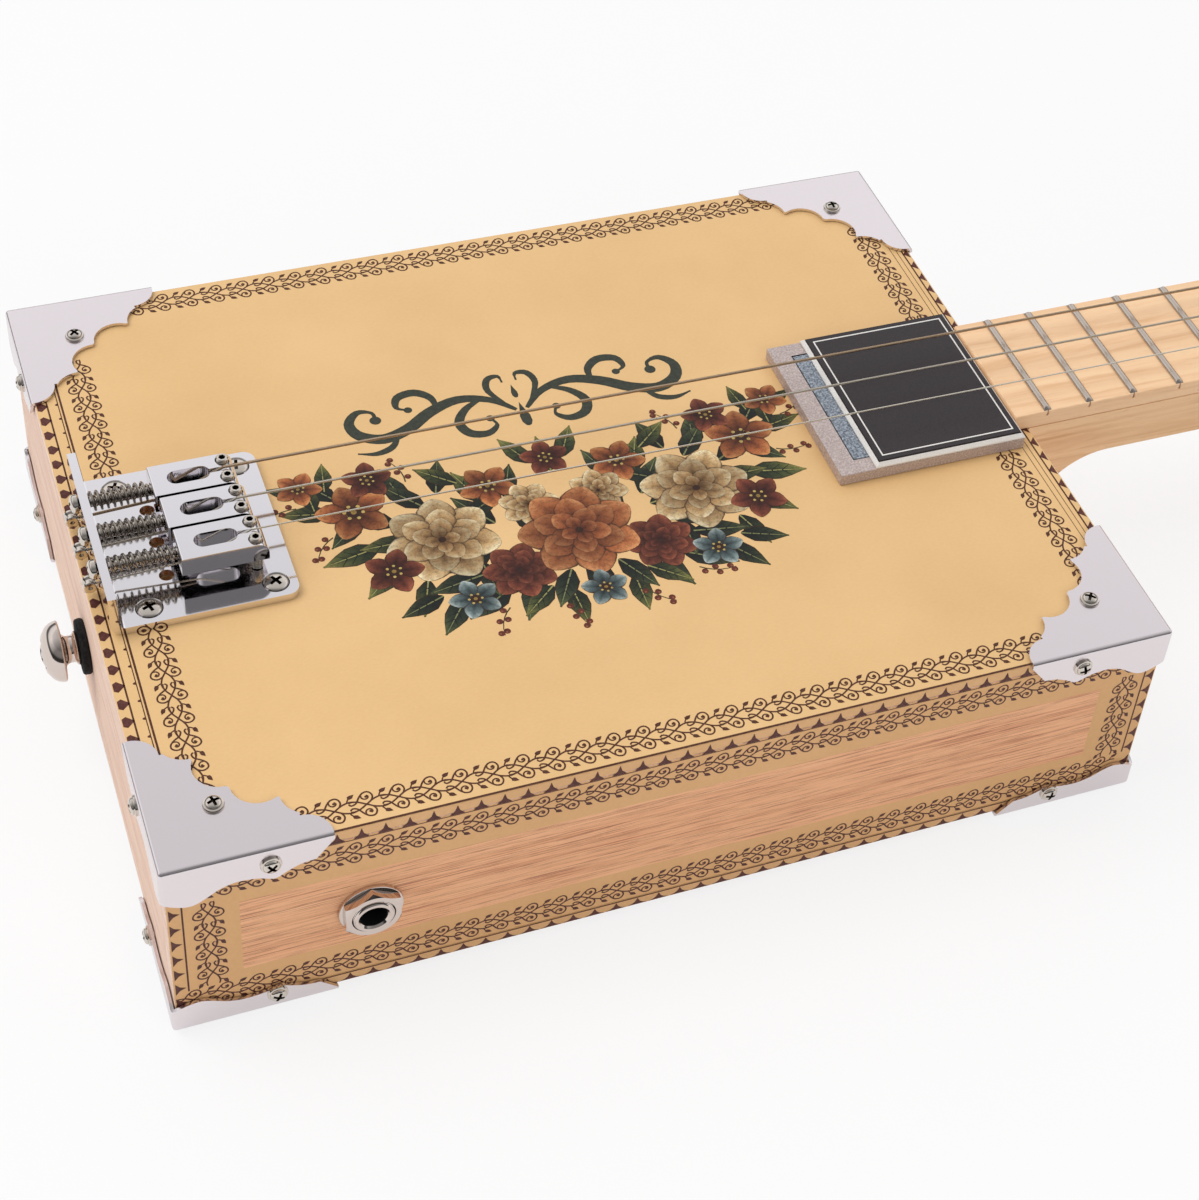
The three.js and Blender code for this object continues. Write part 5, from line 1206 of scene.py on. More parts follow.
def make_guards():
    screw = pan_head("guard_screw", GUARD_HEAD_RADIUS, GUARD_HEAD_HEIGHT, GUARD_SHANK_RADIUS,
                     GUARD_SHANK_LENGTH)
    inset, along, down = GUARD_PLATE_SCREW_INSET, GUARD_FLANGE_SCREW_ALONG, GUARD_FLANGE_SCREW_DEPTH
    seats = (((inset, inset, 0), Z, 15), ((along, 0, -down), -Y, 40), ((0, along, -down), -X, 65))
    x, y = HEAD_X + GUARD_STANDOFF, BACK_Y + GUARD_STANDOFF
    corners = (("tail_near", -x, -y, 0), ("head_near", x, -y, 90),
               ("head_far", x, y, 180), ("tail_far", -x, y, 270))
    kinds = (("lid_guard", LID_FLANGE_DEPTH, LID_TOP + GUARD_STANDOFF, 0, 0),
             ("base_guard", BASE_FLANGE_DEPTH, -GUARD_STANDOFF, 90, 180))
    for kind, depth, z, extra, flip in kinds:
        plate = guard_shape(kind, depth)
        for number, (name, corner_x, corner_y, angle) in enumerate(corners):
            matrix = move((corner_x, corner_y, z)) @ turn(angle + extra) @ turn(flip, "X")
            again(plate, f"{kind}_{name}_plate", "nickel", matrix)
            for place, (start, axis, spin) in enumerate(seats):
                seat = matrix @ pointing(axis, start) @ turn(spin + GUARD_SCREW_TURN * number)
                again(screw, f"{kind}_{name}_screw_{place + 1}", "steel", seat)
        bpy.data.objects.remove(plate)
    bpy.data.objects.remove(screw)


# Bridge: a plate bent up at its back, three sprung saddles, and their screws

PLATE_LOW, PLATE_HIGH = span("bridge_plate")
PLATE_SHEET = 2
PLATE_TOP = PLATE_LOW.z + PLATE_SHEET
PLATE_WALL_FRONT = PLATE_LOW.x + 2.1
PLATE_BEND_RADIUS = 1.5
PLATE_CORNER_RADIUS = 3
PLATE_EDGE = 0.3
BRIDGE_HEAD_RADIUS = 2.95
BRIDGE_HEAD_CONE = 1.5
BRIDGE_HEAD_DOME = 0.8
BRIDGE_HEAD_RIM = 0.1
BRIDGE_SHANK_RADIUS = 1.1
BRIDGE_SHANK_LENGTH = 12
# Width, reach and depth of a screw's cross
BRIDGE_CROSS = (0.85, 1.75, 1.3)
INTONATION_CROSS = (0.75, 1.5, 1.1)
STRAP_CROSS = (1.1, 2.1, 1.5)
BALL_Z = PLATE_TOP + 2.15
BALL_RADIUS = 1.7
BALL_BORE_RADIUS = 0.55
BALL_LENGTH = 3
BALL_RIM = 0.2
BALL_GROOVE_HALF = 0.8
BALL_GROOVE_DEPTH = 0.45
INTONATION_Z = PLATE_TOP + 6.6
INTONATION_RADIUS = 1.5
INTONATION_HEAD_RADIUS = 2.4
INTONATION_HEAD_LENGTH = 2
INTONATION_DOME_SHARE = 0.55
INTONATION_HEAD_RIM = 0.15
INTONATION_NECK_RADIUS = 0.9
THREAD_OVERLAP = 0.1
PLATE_HOLE_LENGTH = 6
SADDLE_HOLE_LENGTH = 8
# Degrees by which screws stand turned: the first bridge screw and what each later one adds, then a height
# screw for its string and for its side, then an intonation screw for its string
BRIDGE_SCREW_TURNS = (20, 50)
HEIGHT_SCREW_TURNS = (25, 40)
INTONATION_SCREW_TURN = 30


def bridge_screw_places():
    return [middle(f"bridge_screw_{number}") for number in (1, 2, 3, 4)]


def make_bridge_plate():
    wall, front, under, side = PLATE_LOW.x, PLATE_HIGH.x, PLATE_LOW.z, PLATE_HIGH.y
    bend, corner = PLATE_BEND_RADIUS, PLATE_CORNER_RADIUS
    outer = bend + PLATE_SHEET
    profile = arc(wall + outer, under + outer, outer, 180, 270, 10) + [(front, under), (front, PLATE_TOP)]
    profile += arc(PLATE_WALL_FRONT + bend, PLATE_TOP + bend, bend, 270, 180, 8)
    profile += [(PLATE_WALL_FRONT, PLATE_HIGH.z), (wall, PLATE_HIGH.z)]
    plan = [(wall - OVERRUN, -side)] + arc(front - corner, -side + corner, corner, -90, 0, 8)
    plan += arc(front - corner, side - corner, corner, 0, 90, 8) + [(wall - OVERRUN, side)]
    kept = prism(plan, under - OVERRUN, PLATE_HIGH.z + OVERRUN)
    holes = []
    for index in STRINGS:
        y = string_y(index)
        back = wall - OVERRUN
        for radius, place, axis, sides in (
                (STRING_HOLE_RADIUS, (STRING_HOLE_X, y, under - OVERRUN), Z, 32),
                (INTONATION_RADIUS + CLEARANCE, (back, y, INTONATION_Z), X, 32),
                (STRING_RADII[index] + CLEARANCE, (back, y, BALL_Z), X, 20)):
            holes.append(rod(radius, PLATE_HOLE_LENGTH, place, axis, sides))
    shank, head = BRIDGE_SHANK_RADIUS + CLEARANCE, BRIDGE_HEAD_RADIUS + CLEARANCE
    cone = BRIDGE_HEAD_CONE + CLEARANCE
    through = PLATE_SHEET * 2
    sink = [(0, -through), (shank, -through), (shank, -cone), (head, 0), (head, OVERRUN), (0, OVERRUN)]
    for place in bridge_screw_places():
        holes.append(lathe(sink, 40).at((place.x, place.y, PLATE_TOP)))
    make("bridge_plate_body", across(profile, 2 * side), "chrome", holes=holes, kept=[kept], edge=PLATE_EDGE)


def make_bridge_screws():
    profile = [(0, -BRIDGE_SHANK_LENGTH), (BRIDGE_SHANK_RADIUS, -BRIDGE_SHANK_LENGTH),
               (BRIDGE_SHANK_RADIUS, -BRIDGE_HEAD_CONE),
               (BRIDGE_HEAD_RADIUS - BRIDGE_HEAD_RIM, -BRIDGE_HEAD_RIM)]
    profile += dome(BRIDGE_HEAD_RADIUS, BRIDGE_HEAD_DOME, 0, 8)
    screw = shaped("bridge_screw", lathe(profile), recess=cross_recess(*BRIDGE_CROSS, BRIDGE_HEAD_DOME))
    first, step = BRIDGE_SCREW_TURNS
    for number, place in enumerate(bridge_screw_places()):
        matrix = move((place.x, place.y, PLATE_TOP)) @ turn(first + step * number)
        again(screw, f"bridge_screw_{number + 1}_body", "steel", matrix, slot="chrome")
    bpy.data.objects.remove(screw)


SADDLE_SLOT_WIDTH = 4.5
SADDLE_SLOT_START = 4
SADDLE_SLOT_END = 14.3
SADDLE_CREST = 17.5
SADDLE_REAR_RADIUS = 0.6
SADDLE_EDGE = 0.22
LIFT_SCREW_RADIUS = 1.5
LIFT_SCREW_GAP = 0.25
LIFT_SCREW_FROM_REAR = 17.9
LIFT_SCREW_Y = 3
LIFT_SOCKET_RADIUS = 0.87
LIFT_SOCKET_DEPTH = 1.5
LIFT_CAP = 0.5
LIFT_CHAMFER = 0.25
NUT_TOP_GAP = 0.6
GROOVE_RISE = 5


def under_bend(index):
    """Where the string turns upwards under the saddle's back wall."""
    low = span(f"saddle_{index}")[0]
    radius = STRING_RADII[index]
    x = low.x + SADDLE_SLOT_START + CLEARANCE + 2 * radius
    return Vector((x, string_y(index), low.z - CLEARANCE - radius))


def crest(index):
    low, high = span(f"saddle_{index}")
    return Vector((low.x + SADDLE_CREST, string_y(index), high.z + STRING_RADII[index]))


def over_nut(index, x):
    """The string's centre at x, on its straight stretch between the saddle and the nut."""
    start = crest(index)
    end_z = FRETBOARD_TOP + FRET_HEIGHT + NUT_TOP_GAP + STRING_RADII[index]
    share = (x - start.x) / (span("nut")[0].x - start.x)
    return Vector((x, start.y, start.z + (end_z - start.z) * share))


def channel(index, rise):
    """The section of a narrow round-bottomed groove that clears the string."""
    reach = STRING_RADII[index] + CLEARANCE
    return arc(0, 0, reach, 180, 360, 10) + [(reach, rise), (-reach, rise)]


def groove(index, start, end):
    forward = (end - start).normalized()
    facing = Matrix((Y, forward.cross(Y), forward)).transposed().to_4x4()
    return prism(channel(index, GROOVE_RISE), 0, (end - start).length).moved(move(start) @ facing)


def make_saddle(index):
    low, high = span(f"saddle_{index}")
    nose = high.x - low.x - SADDLE_CREST
    edge = SADDLE_REAR_RADIUS
    profile = [(low.x, low.z), (high.x, low.z)] + arc(low.x + SADDLE_CREST, high.z - nose, nose, 0, 90, 12)
    profile += arc(low.x + edge, high.z - edge, edge, 90, 180, 4)
    y = string_y(index)
    radius = SADDLE_SLOT_WIDTH / 2
    slot = arc(low.x + SADDLE_SLOT_END - radius, y, radius, -90, 90, 16)
    slot += arc(low.x + SADDLE_SLOT_START + radius, y, radius, 90, 270, 16)
    top = crest(index)
    holes = [
        prism(slot, low.z - OVERRUN, high.z + OVERRUN),
        groove(index, under_bend(index), top),
        groove(index, top, over_nut(index, high.x + OVERRUN)),
        rod(INTONATION_RADIUS + CLEARANCE, SADDLE_HOLE_LENGTH, (low.x - OVERRUN, y, INTONATION_Z), X),
    ]
    for side in (-1, 1):
        place = (low.x + LIFT_SCREW_FROM_REAR, y + side * LIFT_SCREW_Y, low.z - OVERRUN)
        holes.append(rod(LIFT_SCREW_RADIUS + LIFT_SCREW_GAP, SADDLE_HOLE_LENGTH, place))
    make(f"saddle_{index}_body", across(profile, high.y - low.y, y), "chrome", holes=holes, edge=SADDLE_EDGE)


def make_height_screws():
    low, high = span("height_screw_1_near")
    length, radius = high.z - low.z, LIFT_SCREW_RADIUS
    cap = [(0, length - LIFT_CAP), (radius, length - LIFT_CAP), (radius, length - LIFT_CHAMFER),
           (radius - LIFT_CHAMFER, length), (0, length)]
    screw = bare_object("height_screw", threaded(radius, 0, length - CLEARANCE))
    combine(screw, "UNION", lathe(cap, 32))
    socket_start = (0, 0, length - LIFT_SOCKET_DEPTH)
    socket = rod(LIFT_SOCKET_RADIUS, LIFT_SOCKET_DEPTH + OVERRUN, socket_start, sides=6)
    # The hex socket's faces get painted shade
    combine(screw, "DIFFERENCE", socket, dark=True)
    for index in STRINGS:
        for number, side in enumerate(("near", "far")):
            node = f"height_screw_{index}_{side}"
            place = middle(node)
            by_string, by_side = HEIGHT_SCREW_TURNS
            turned = turn(by_string * index + by_side * number)
            matrix = move((place.x, place.y, span(node)[0].z)) @ turned
            again(screw, f"{node}_body", "steel", matrix)
    bpy.data.objects.remove(screw)


def make_intonation_screw(index):
    node = f"intonation_screw_{index}"
    low, high = span(node)
    radius, head, rim = INTONATION_HEAD_RADIUS, INTONATION_HEAD_LENGTH, INTONATION_HEAD_RIM
    height = head * INTONATION_DOME_SHARE
    profile = [(out, height - up) for out, up in reversed(dome(radius, height, 0, 7))]
    profile += [(radius, head - rim), (radius - rim, head), (INTONATION_NECK_RADIUS, head), (0, head)]
    recess = cross_recess(*INTONATION_CROSS, 0).moved(turn(180, "X"))
    matrix = pointing(X, (low.x, string_y(index), INTONATION_Z))
    turned = matrix @ turn(INTONATION_SCREW_TURN * index)
    make(f"{node}_head", lathe(profile, 36), "steel", recess=recess, matrix=turned)
    thread = threaded(INTONATION_RADIUS, head - THREAD_OVERLAP, high.x - low.x)
    make(f"{node}_thread", thread, "steel", matrix=matrix)


SPRING_WIRE_RADIUS = 0.32
SPRING_RADIUS = 2.2
SPRING_CURLS = 9
SPRING_STEPS = 22


def make_spring(index):
    start = PLATE_WALL_FRONT + CLEARANCE + SPRING_WIRE_RADIUS
    end = saddle_rear(index) - CLEARANCE - SPRING_WIRE_RADIUS
    y, z = string_y(index), INTONATION_Z
    steps = SPRING_CURLS * SPRING_STEPS
    path = []
    for step in range(steps + 1):
        aside, up = on_circle(SPRING_RADIUS, math.tau * SPRING_CURLS * step / steps)
        path.append(Vector((start + (end - start) * step / steps, y + aside, z + up)))
    make(f"saddle_spring_{index}_wire", sweep(path, SPRING_WIRE_RADIUS, 9), "spring",
         body=(BODY, f"saddle_{index}"), ends=((start, y, z), (end, y, z)))


# Strings, each in four pieces: its ball, its tail up to the saddle, its long stretch, its turns on the post

STRING_LOOKS = {1: "wound", 2: "wound_pale", 3: "plain"}
WINDING_TURNS = 2
WINDING_STEPS = 40
WINDING_GAP = 0.45
STRETCH_STEPS = 24
# A distance in front of the saddle's crest, passed with the stretch's ends; this script does not bend the
# string there
STRETCH_FADE = 40
# Shares of the tail's three stretches: down to its bend, round it, and up to the crest
TAIL_SHARES = (0.25, 0.5, 0.75, 0.93)
BEND_SHARE = 0.07
BEND_SHARES = (0.25, 0.5, 0.75, 1)
RISE_SHARES = (0.3, 0.6, 0.9, 1)


def winding_path(index):
    radius = STRING_RADII[index]
    place = post_place(index)
    reach = POST_WAIST_RADIUS + CLEARANCE + radius
    pitch = 2 * radius + WINDING_GAP
    top = HEAD_FACE + POST_WAIST_END - radius
    path = []
    for step in range(WINDING_STEPS * WINDING_TURNS + 1):
        turned = step / WINDING_STEPS
        x, y = on_circle(reach, TUNER_SIDES[index] * (math.tau * turned - math.pi / 2))
        path.append(Vector((place.x + x, place.y + y, top - pitch * turned)))
    return path


def string_ball(place):
    half, rim, groove_half = BALL_LENGTH / 2, BALL_RIM, BALL_GROOVE_HALF
    waist = BALL_RADIUS - BALL_GROOVE_DEPTH
    upper = [(waist, groove_half / 2), (BALL_RADIUS, groove_half), (BALL_RADIUS, half - rim),
             (BALL_RADIUS - rim, half), (BALL_BORE_RADIUS, half)]
    barrel = [(radius, -height) for radius, height in reversed(upper)] + upper
    return lathe(barrel, 32, closed=True).at(place, Y)


def make_string(index):
    radius, look = STRING_RADII[index], STRING_LOOKS[index]
    node, saddle = f"string_{index}", f"saddle_{index}"
    ball = Vector((PLATE_LOW.x - CLEARANCE - BALL_RADIUS, string_y(index), BALL_Z))
    bend, top = under_bend(index), crest(index)
    inside = Vector((PLATE_WALL_FRONT + OVERRUN, ball.y, BALL_Z))
    tail = [ball, inside] + [inside.lerp(bend, share) for share in TAIL_SHARES]
    before, after = bend.lerp(inside, BEND_SHARE), bend.lerp(top, BEND_SHARE)
    tail += [before.lerp(bend, share).lerp(bend.lerp(after, share), share) for share in BEND_SHARES]
    tail += [bend.lerp(top, share) for share in RISE_SHARES]
    make(f"{node}_tail", sweep(tail, radius), look, body=(BODY, saddle), ends=(inside, bend))
    winding = winding_path(index)
    leave = over_nut(index, span("nut")[1].x + OVERRUN)
    path = [top.lerp(leave, step / STRETCH_STEPS) for step in range(STRETCH_STEPS + 1)]
    path += [leave.lerp(winding[0], 0.5), winding[0]]
    make(f"{node}_stretch", sweep(path, radius), look, body=(saddle, BODY),
         ends=(top, top + X * STRETCH_FADE))
    make(f"{node}_turns", sweep(winding, radius), look, body=f"tuner_post_{index}")
    make(f"{node}_ball", string_ball(ball), "steel", slot="wound_string")


def make_bridge():
    make_bridge_plate()
    make_bridge_screws()
    make_height_screws()
    for index in STRINGS:
        make_saddle(index)
        make_intonation_screw(index)
        make_spring(index)
        make_string(index)


# Pickup: a flat plate, a strip sunk into it, and a raised cover with bevelled white edges

PICKUP_EDGE = 0.25
STRIP_EDGE = 0.12
STRIP_GAP = 0.35
STRIP_SEAT_DEPTH = 0.1
COVER_BEVEL = 0.85
COVER_RIM = 0.35
COVER_TOP_SHEET = 0.35
COVER_FACE_BEVEL = 0.25
COVER_CORE_EDGE = 0.06
COVER_FACE_EDGE = 0.05
COVER_FACE_INSET = COVER_BEVEL + 0.02
COVER_FACE_GAP = 0.01
COVER_LINE_INSET = 2.5
COVER_LINE_WIDTH = 0.4
COVER_LINE_LIFT = 0.005


def stepped(low, high, levels):
    """A block over a rectangle, narrowed by an inset at each height."""
    return loft([[(x, y, z) for x, y in rectangle(low, high, inset)] for inset, z in levels])


def make_pickup():
    low, high = span("pickup_base")
    strip_low, strip_high = span("pickup_strip")
    gap = Vector((STRIP_GAP, STRIP_GAP, STRIP_SEAT_DEPTH))
    seat = box_solid(strip_low - gap, (strip_high.x + STRIP_GAP, strip_high.y + STRIP_GAP, high.z + OVERRUN))
    # The seat round the strip gets painted shade, where shade falls between strip and plate
    make("pickup_base_body", rounded_block(low, high, PICKUP_EDGE), "grey_plate", recess=seat)
    make("pickup_strip_body", rounded_block(strip_low, strip_high, STRIP_EDGE), "grey_strip")
    low, high = span("pickup_cover")
    step = high.z - COVER_TOP_SHEET
    core = stepped(low, high, ((0, low.z), (0, low.z + COVER_RIM), (COVER_BEVEL, step - COVER_FACE_GAP)))
    make("pickup_cover_core", core, "white", edge=COVER_CORE_EDGE)
    face = stepped(low, high, ((COVER_FACE_INSET, step), (COVER_BEVEL + COVER_FACE_BEVEL, high.z)))
    make("pickup_cover_face", face, "black", edge=COVER_FACE_EDGE)
    sheet = Print((0, 0, high.z + COVER_LINE_LIFT))
    outer = rectangle(low, high, COVER_LINE_INSET)
    inner = rectangle(low, high, COVER_LINE_INSET + COVER_LINE_WIDTH)
    for side in range(4):
        after = (side + 1) % 4
        sheet.shape([outer[side], outer[after], inner[after], inner[side]])
    sheet.make("pickup_cover_line", "white")


# Neck, fretboard, frets and nut

NECK_EDGE_RADIUS = 5
NECK_EDGE_START_X = 200
NECK_EDGE_FADE = 30
NECK_EDGE_LEAST = 0.02
NECK_EDGE = 0.6
HEEL_THICK = 6.5
HEEL_BOTTOM_Z = 15
HEEL_SWEEP_RADIUS = 20
HEAD_WIDTH = 56
HEAD_TIP_WIDTH = 46
HEAD_STEP_LENGTH = 4
HEAD_FLARE_LENGTH = 24
HEAD_TIP_BOW = 7
HEAD_STEPS = 16
POST_RADIUS = 3
FRET_WIDTH = 2.2
FRET_END_INSET = 0.3
FRET_SLOT_HALF = 0.3
FRET_SLOT_DEPTH = 1.6
TANG_HALF = 0.25
TANG_DEPTH = 1.5
TANG_RISE = 0.02
# How a fret's height grows from its end: distance and share
FRET_END_SHARES = ((0, 0.05), (0.5, 0.8), (0.9, 1))
FRETBOARD_EDGE = 0.35
SEMITONE = 2 ** (-1 / 12)
SCALE_START_X = -83.6
SCALE_LENGTH = 628.65
NUT_TOP_RADIUS = 1
NUT_EDGE = 0.2
NUT_OVERRUN = 2
NUT_SLOT_RISE = 8


def neck_side():
    low = span("neck")[0]
    beam_top = LID_LOW.z - GLUE_GAP
    heel_back = HEAD_X + GLUE_GAP
    heel_front = heel_back + HEEL_THICK
    sweep_x, sweep_z = heel_front + HEEL_SWEEP_RADIUS, NECK_BOTTOM - HEEL_SWEEP_RADIUS
    heel = [(low.x, NECK_BOTTOM), (heel_back, NECK_BOTTOM), (heel_back, HEEL_BOTTOM_Z),
            (heel_front, HEEL_BOTTOM_Z)]
    head = [(HEAD_END_X, NECK_BOTTOM), (HEAD_END_X, HEAD_FACE), (HEAD_START_X + HEAD_STEP_LENGTH, HEAD_FACE),
            (HEAD_START_X, LID_TOP)]
    beam = [(heel_back, LID_TOP), (heel_back, beam_top), (low.x, beam_top)]
    return heel + arc(sweep_x, sweep_z, HEEL_SWEEP_RADIUS, 180, 90, 20) + head + beam


def neck_plan():
    half, wide, tip = NECK_WIDTH / 2, HEAD_WIDTH / 2, HEAD_TIP_WIDTH / 2
    flare, bow = [], []
    for share in (step / HEAD_STEPS for step in range(HEAD_STEPS + 1)):
        ease = (1 - math.cos(math.pi * share)) / 2
        flare.append((HEAD_START_X + HEAD_FLARE_LENGTH * share, half + (wide - half) * ease))
        y = tip * (2 * share - 1)
        bow.append((HEAD_END_X - HEAD_TIP_BOW * (y / tip) ** 2, y))
    start = TAIL_X - OVERRUN
    return [(start, -half)] + [(x, -y) for x, y in flare] + bow + flare[::-1] + [(start, half)]


def neck_rounding(side):
    """What rounding takes off a lower edge of the shaft, growing after the heel, fading before the head."""
    radius, half, past = NECK_EDGE_RADIUS, NECK_WIDTH / 2, 2 * OVERRUN
    outline = arc(-radius, radius, radius, -90, 0, 12) + [(past, radius), (past, -past), (-radius, -past)]
    stations = ((NECK_EDGE_START_X, NECK_EDGE_LEAST), (NECK_EDGE_START_X + NECK_EDGE_FADE, 1),
                (HEAD_START_X - NECK_EDGE_FADE, 1), (HEAD_START_X, NECK_EDGE_LEAST))
    return loft([[(x, side * (half + y * share), NECK_BOTTOM + z * share) for y, z in outline]
                 for x, share in stations])


def make_neck():
    plan = prism(neck_plan(), HEEL_BOTTOM_Z - OVERRUN, LID_TOP + OVERRUN)
    holes = [neck_rounding(-1), neck_rounding(1)]
    low = NECK_BOTTOM - OVERRUN
    screw_hole = TUNER_SCREW_RADIUS + CLEARANCE, TUNER_SCREW_LENGTH + OVERRUN + CLEARANCE
    for index in STRINGS:
        place = post_place(index)
        holes.append(rod(POST_RADIUS + CLEARANCE, NECK_THICK + 2 * OVERRUN, (place.x, place.y, low)))
        for x in tuner_screw_xs():
            holes.append(rod(*screw_hole, (place.x + TUNER_SIDES[index] * x, place.y, low), sides=12))
    make("neck_body", across(neck_side(), HEAD_WIDTH + 2 * OVERRUN), "maple", holes=holes, kept=[plan],
         edge=NECK_EDGE, sharp=40)


def make_fretboard():
    low, high = span("fretboard")
    top = FRETBOARD_TOP
    frets = []
    place = span("nut")[0].x - SCALE_LENGTH * (1 - SEMITONE)
    while place > low.x + FRET_WIDTH:
        frets.append(place)
        place = SCALE_START_X + (place - SCALE_START_X) * SEMITONE
    slots = Solid()
    for x in frets:
        slots.join(box_solid((x - FRET_SLOT_HALF, low.y - OVERRUN, top - FRET_SLOT_DEPTH),
                             (x + FRET_SLOT_HALF, high.y + OVERRUN, top + OVERRUN)))
    board = rounded_block(low, (high.x, high.y, top), FRETBOARD_EDGE)
    make("fretboard_body", board, "fretboard", holes=[slots])
    crown = [(x * FRET_WIDTH / 2, top + z * FRET_HEIGHT) for x, z in arc(0, 0, 1, 0, 180, 12)]
    side = NECK_WIDTH / 2 - FRET_END_INSET
    ends = [(-side + inset, share) for inset, share in FRET_END_SHARES]
    ends += [(-y, share) for y, share in reversed(ends)]
    for number, x in enumerate(frets):
        bar = loft([[(x + along, y, max(top, top + (z - top) * share)) for along, z in crown]
                    for y, share in ends])
        tang = box_solid((x - TANG_HALF, -side, top - TANG_DEPTH), (x + TANG_HALF, side, top + TANG_RISE))
        make(f"fret_{number + 1}", bar.join(tang), "fret")


def make_nut():
    low, high = span("nut")
    edge = NUT_TOP_RADIUS
    profile = [(low.x, low.z), (high.x, low.z)] + arc(high.x - edge, high.z - edge, edge, 0, 90, 8)
    profile += [(low.x, high.z)]
    slots = []
    for index in STRINGS:
        start, end = over_nut(index, low.x - NUT_OVERRUN), over_nut(index, high.x + NUT_OVERRUN)
        matrix = move((start.x, start.y, end.z)) @ LENGTHWISE
        slots.append(prism(channel(index, NUT_SLOT_RISE), 0, end.x - start.x).moved(matrix))
    make("nut_body", across(profile, high.y - low.y), "bone", holes=slots, edge=NUT_EDGE)


# Tuners: an open worm and wheel under the head turns each post

POST_HEIGHT = 8.5
POST_WAIST_START = 1.5
POST_HOLE_RADIUS = 0.9
POST_TOP_CHAMFER = 0.2
# The post's lower end: how far it comes under the wheel, its radius there and its screwdriver slot
POST_END = 1.2
POST_END_RADIUS = 2
POST_END_CHAMFER = 0.3
POST_SLOT_HALF = (1.5, 0.35)
POST_SLOT_DEPTH = 0.5
WHEEL_GAP = 0.01
WHEEL_TEETH = 15
WHEEL_PITCH_RADIUS = 5.2
WHEEL_THICK = 3
WHEEL_STEPS = 6
TOOTH_ADDENDUM = 0.55
TOOTH_DEDENDUM = 0.85
TOOTH_FLANK_ANGLE = 20
TOOTH_TIP_CHAMFER = 0.12
TOOTH_TIP_SHARE = 0.75
WORM_PITCH_RADIUS = 2.6
WORM_LENGTH = 7
WORM_SHOULDER = 0.3
WORM_SUNK = 0.2
WORM_STEPS = 28
TUNER_SHEET = 1
TUNER_PLATE_LENGTH = 34
TUNER_PLATE_WIDTH = 14
TUNER_PLATE_BACK = 13
TUNER_PLATE_CORNER = 2.5
TUNER_PLATE_EDGE = 0.15
TUNER_SCREW_INSET = 3
TUNER_SCREW_RADIUS = 0.9
TUNER_SCREW_LENGTH = 7
TUNER_SCREW_HEAD = (2, 1.2)
TUNER_BORE_LENGTH = 20
EAR_WIDTH = 6.4
EAR_BELOW_AXIS = 3.5
EAR_EDGE = 0.12
EAR_SUNK = 0.5
EAR_BORE_GAP = 0.2
KEY_SHAFT_RADIUS = 1.2
KEY_SHAFT_LENGTH = 8.6
KEY_NECK_RADIUS = 2
KEY_NECK_LENGTH = 2.5
KEY_CHAMFER = 0.2
KEY_COLLAR = (0.4, 0.6)
BUTTON_LENGTH = 14
BUTTON_WIDTH = 17
BUTTON_THICK = 5.6
BUTTON_STEPS = 16
BUTTON_SIDES = 48
# How round the button is: the powers of its waves across, along and through, and its least share of the width
BUTTON_POWERS = (0.9, 0.32, 0.8)
BUTTON_LEAST_SHARE = 0.55
TOOTH_PITCH = math.tau * WHEEL_PITCH_RADIUS / WHEEL_TEETH
WORM_OFFSET = WHEEL_PITCH_RADIUS + WORM_PITCH_RADIUS
WORM_RADIUS = WORM_PITCH_RADIUS + TOOTH_ADDENDUM
WORM_ROOT_RADIUS = WORM_PITCH_RADIUS - TOOTH_DEDENDUM
TUNER_UNDER = GLUE_GAP + TUNER_SHEET
WORM_DROP = TUNER_UNDER + CLEARANCE + WORM_RADIUS
SHOULDER_Y = WORM_LENGTH / 2 + WORM_SHOULDER
EAR_Y = SHOULDER_Y + CLEARANCE


def rotated(x, y, angle):
    return x * math.cos(angle) - y * math.sin(angle), x * math.sin(angle) + y * math.cos(angle)


def tooth_half(height):
    return (TOOTH_PITCH / 2 - CLEARANCE) / 2 - height * math.tan(math.radians(TOOTH_FLANK_ANGLE))


def tuner_plate_shape():
    side = TUNER_PLATE_WIDTH / 2
    corner = TUNER_PLATE_CORNER
    up, back = side - corner, corner - TUNER_PLATE_BACK
    front = back + TUNER_PLATE_LENGTH - 2 * corner
    outline = []
    for x, y, start in ((front, up, 0), (back, up, 90), (back, -up, 180), (front, -up, 270)):
        outline += arc(x, y, corner, start, start + 90, 6)
    post = rod(POST_RADIUS + CLEARANCE, TUNER_BORE_LENGTH, (0, 0, -TUNER_BORE_LENGTH / 2))
    plate = shaped("tuner_plate", prism(outline, -TUNER_UNDER, -GLUE_GAP), [post], edge=TUNER_PLATE_EDGE)
    half = EAR_WIDTH / 2
    ear = [(WORM_OFFSET + half, EAR_SUNK - TUNER_UNDER), (WORM_OFFSET - half, EAR_SUNK - TUNER_UNDER)]
    ear += arc(WORM_OFFSET, half - WORM_DROP - EAR_BELOW_AXIS, half, 180, 360, 14)
    start = WORM_OFFSET, -TUNER_BORE_LENGTH / 2, -WORM_DROP
    shaft = rod(KEY_SHAFT_RADIUS + EAR_BORE_GAP, TUNER_BORE_LENGTH, start, Y)
    ears = [shaped("tuner_ear", across(ear, TUNER_SHEET, y), [shaft], edge=EAR_EDGE)
            for y in (-EAR_Y - TUNER_SHEET / 2, EAR_Y + TUNER_SHEET / 2)]
    return plate, ears


def tuner_screw_xs():
    back = -TUNER_PLATE_BACK + TUNER_SCREW_INSET
    return back, back + TUNER_PLATE_LENGTH - 2 * TUNER_SCREW_INSET


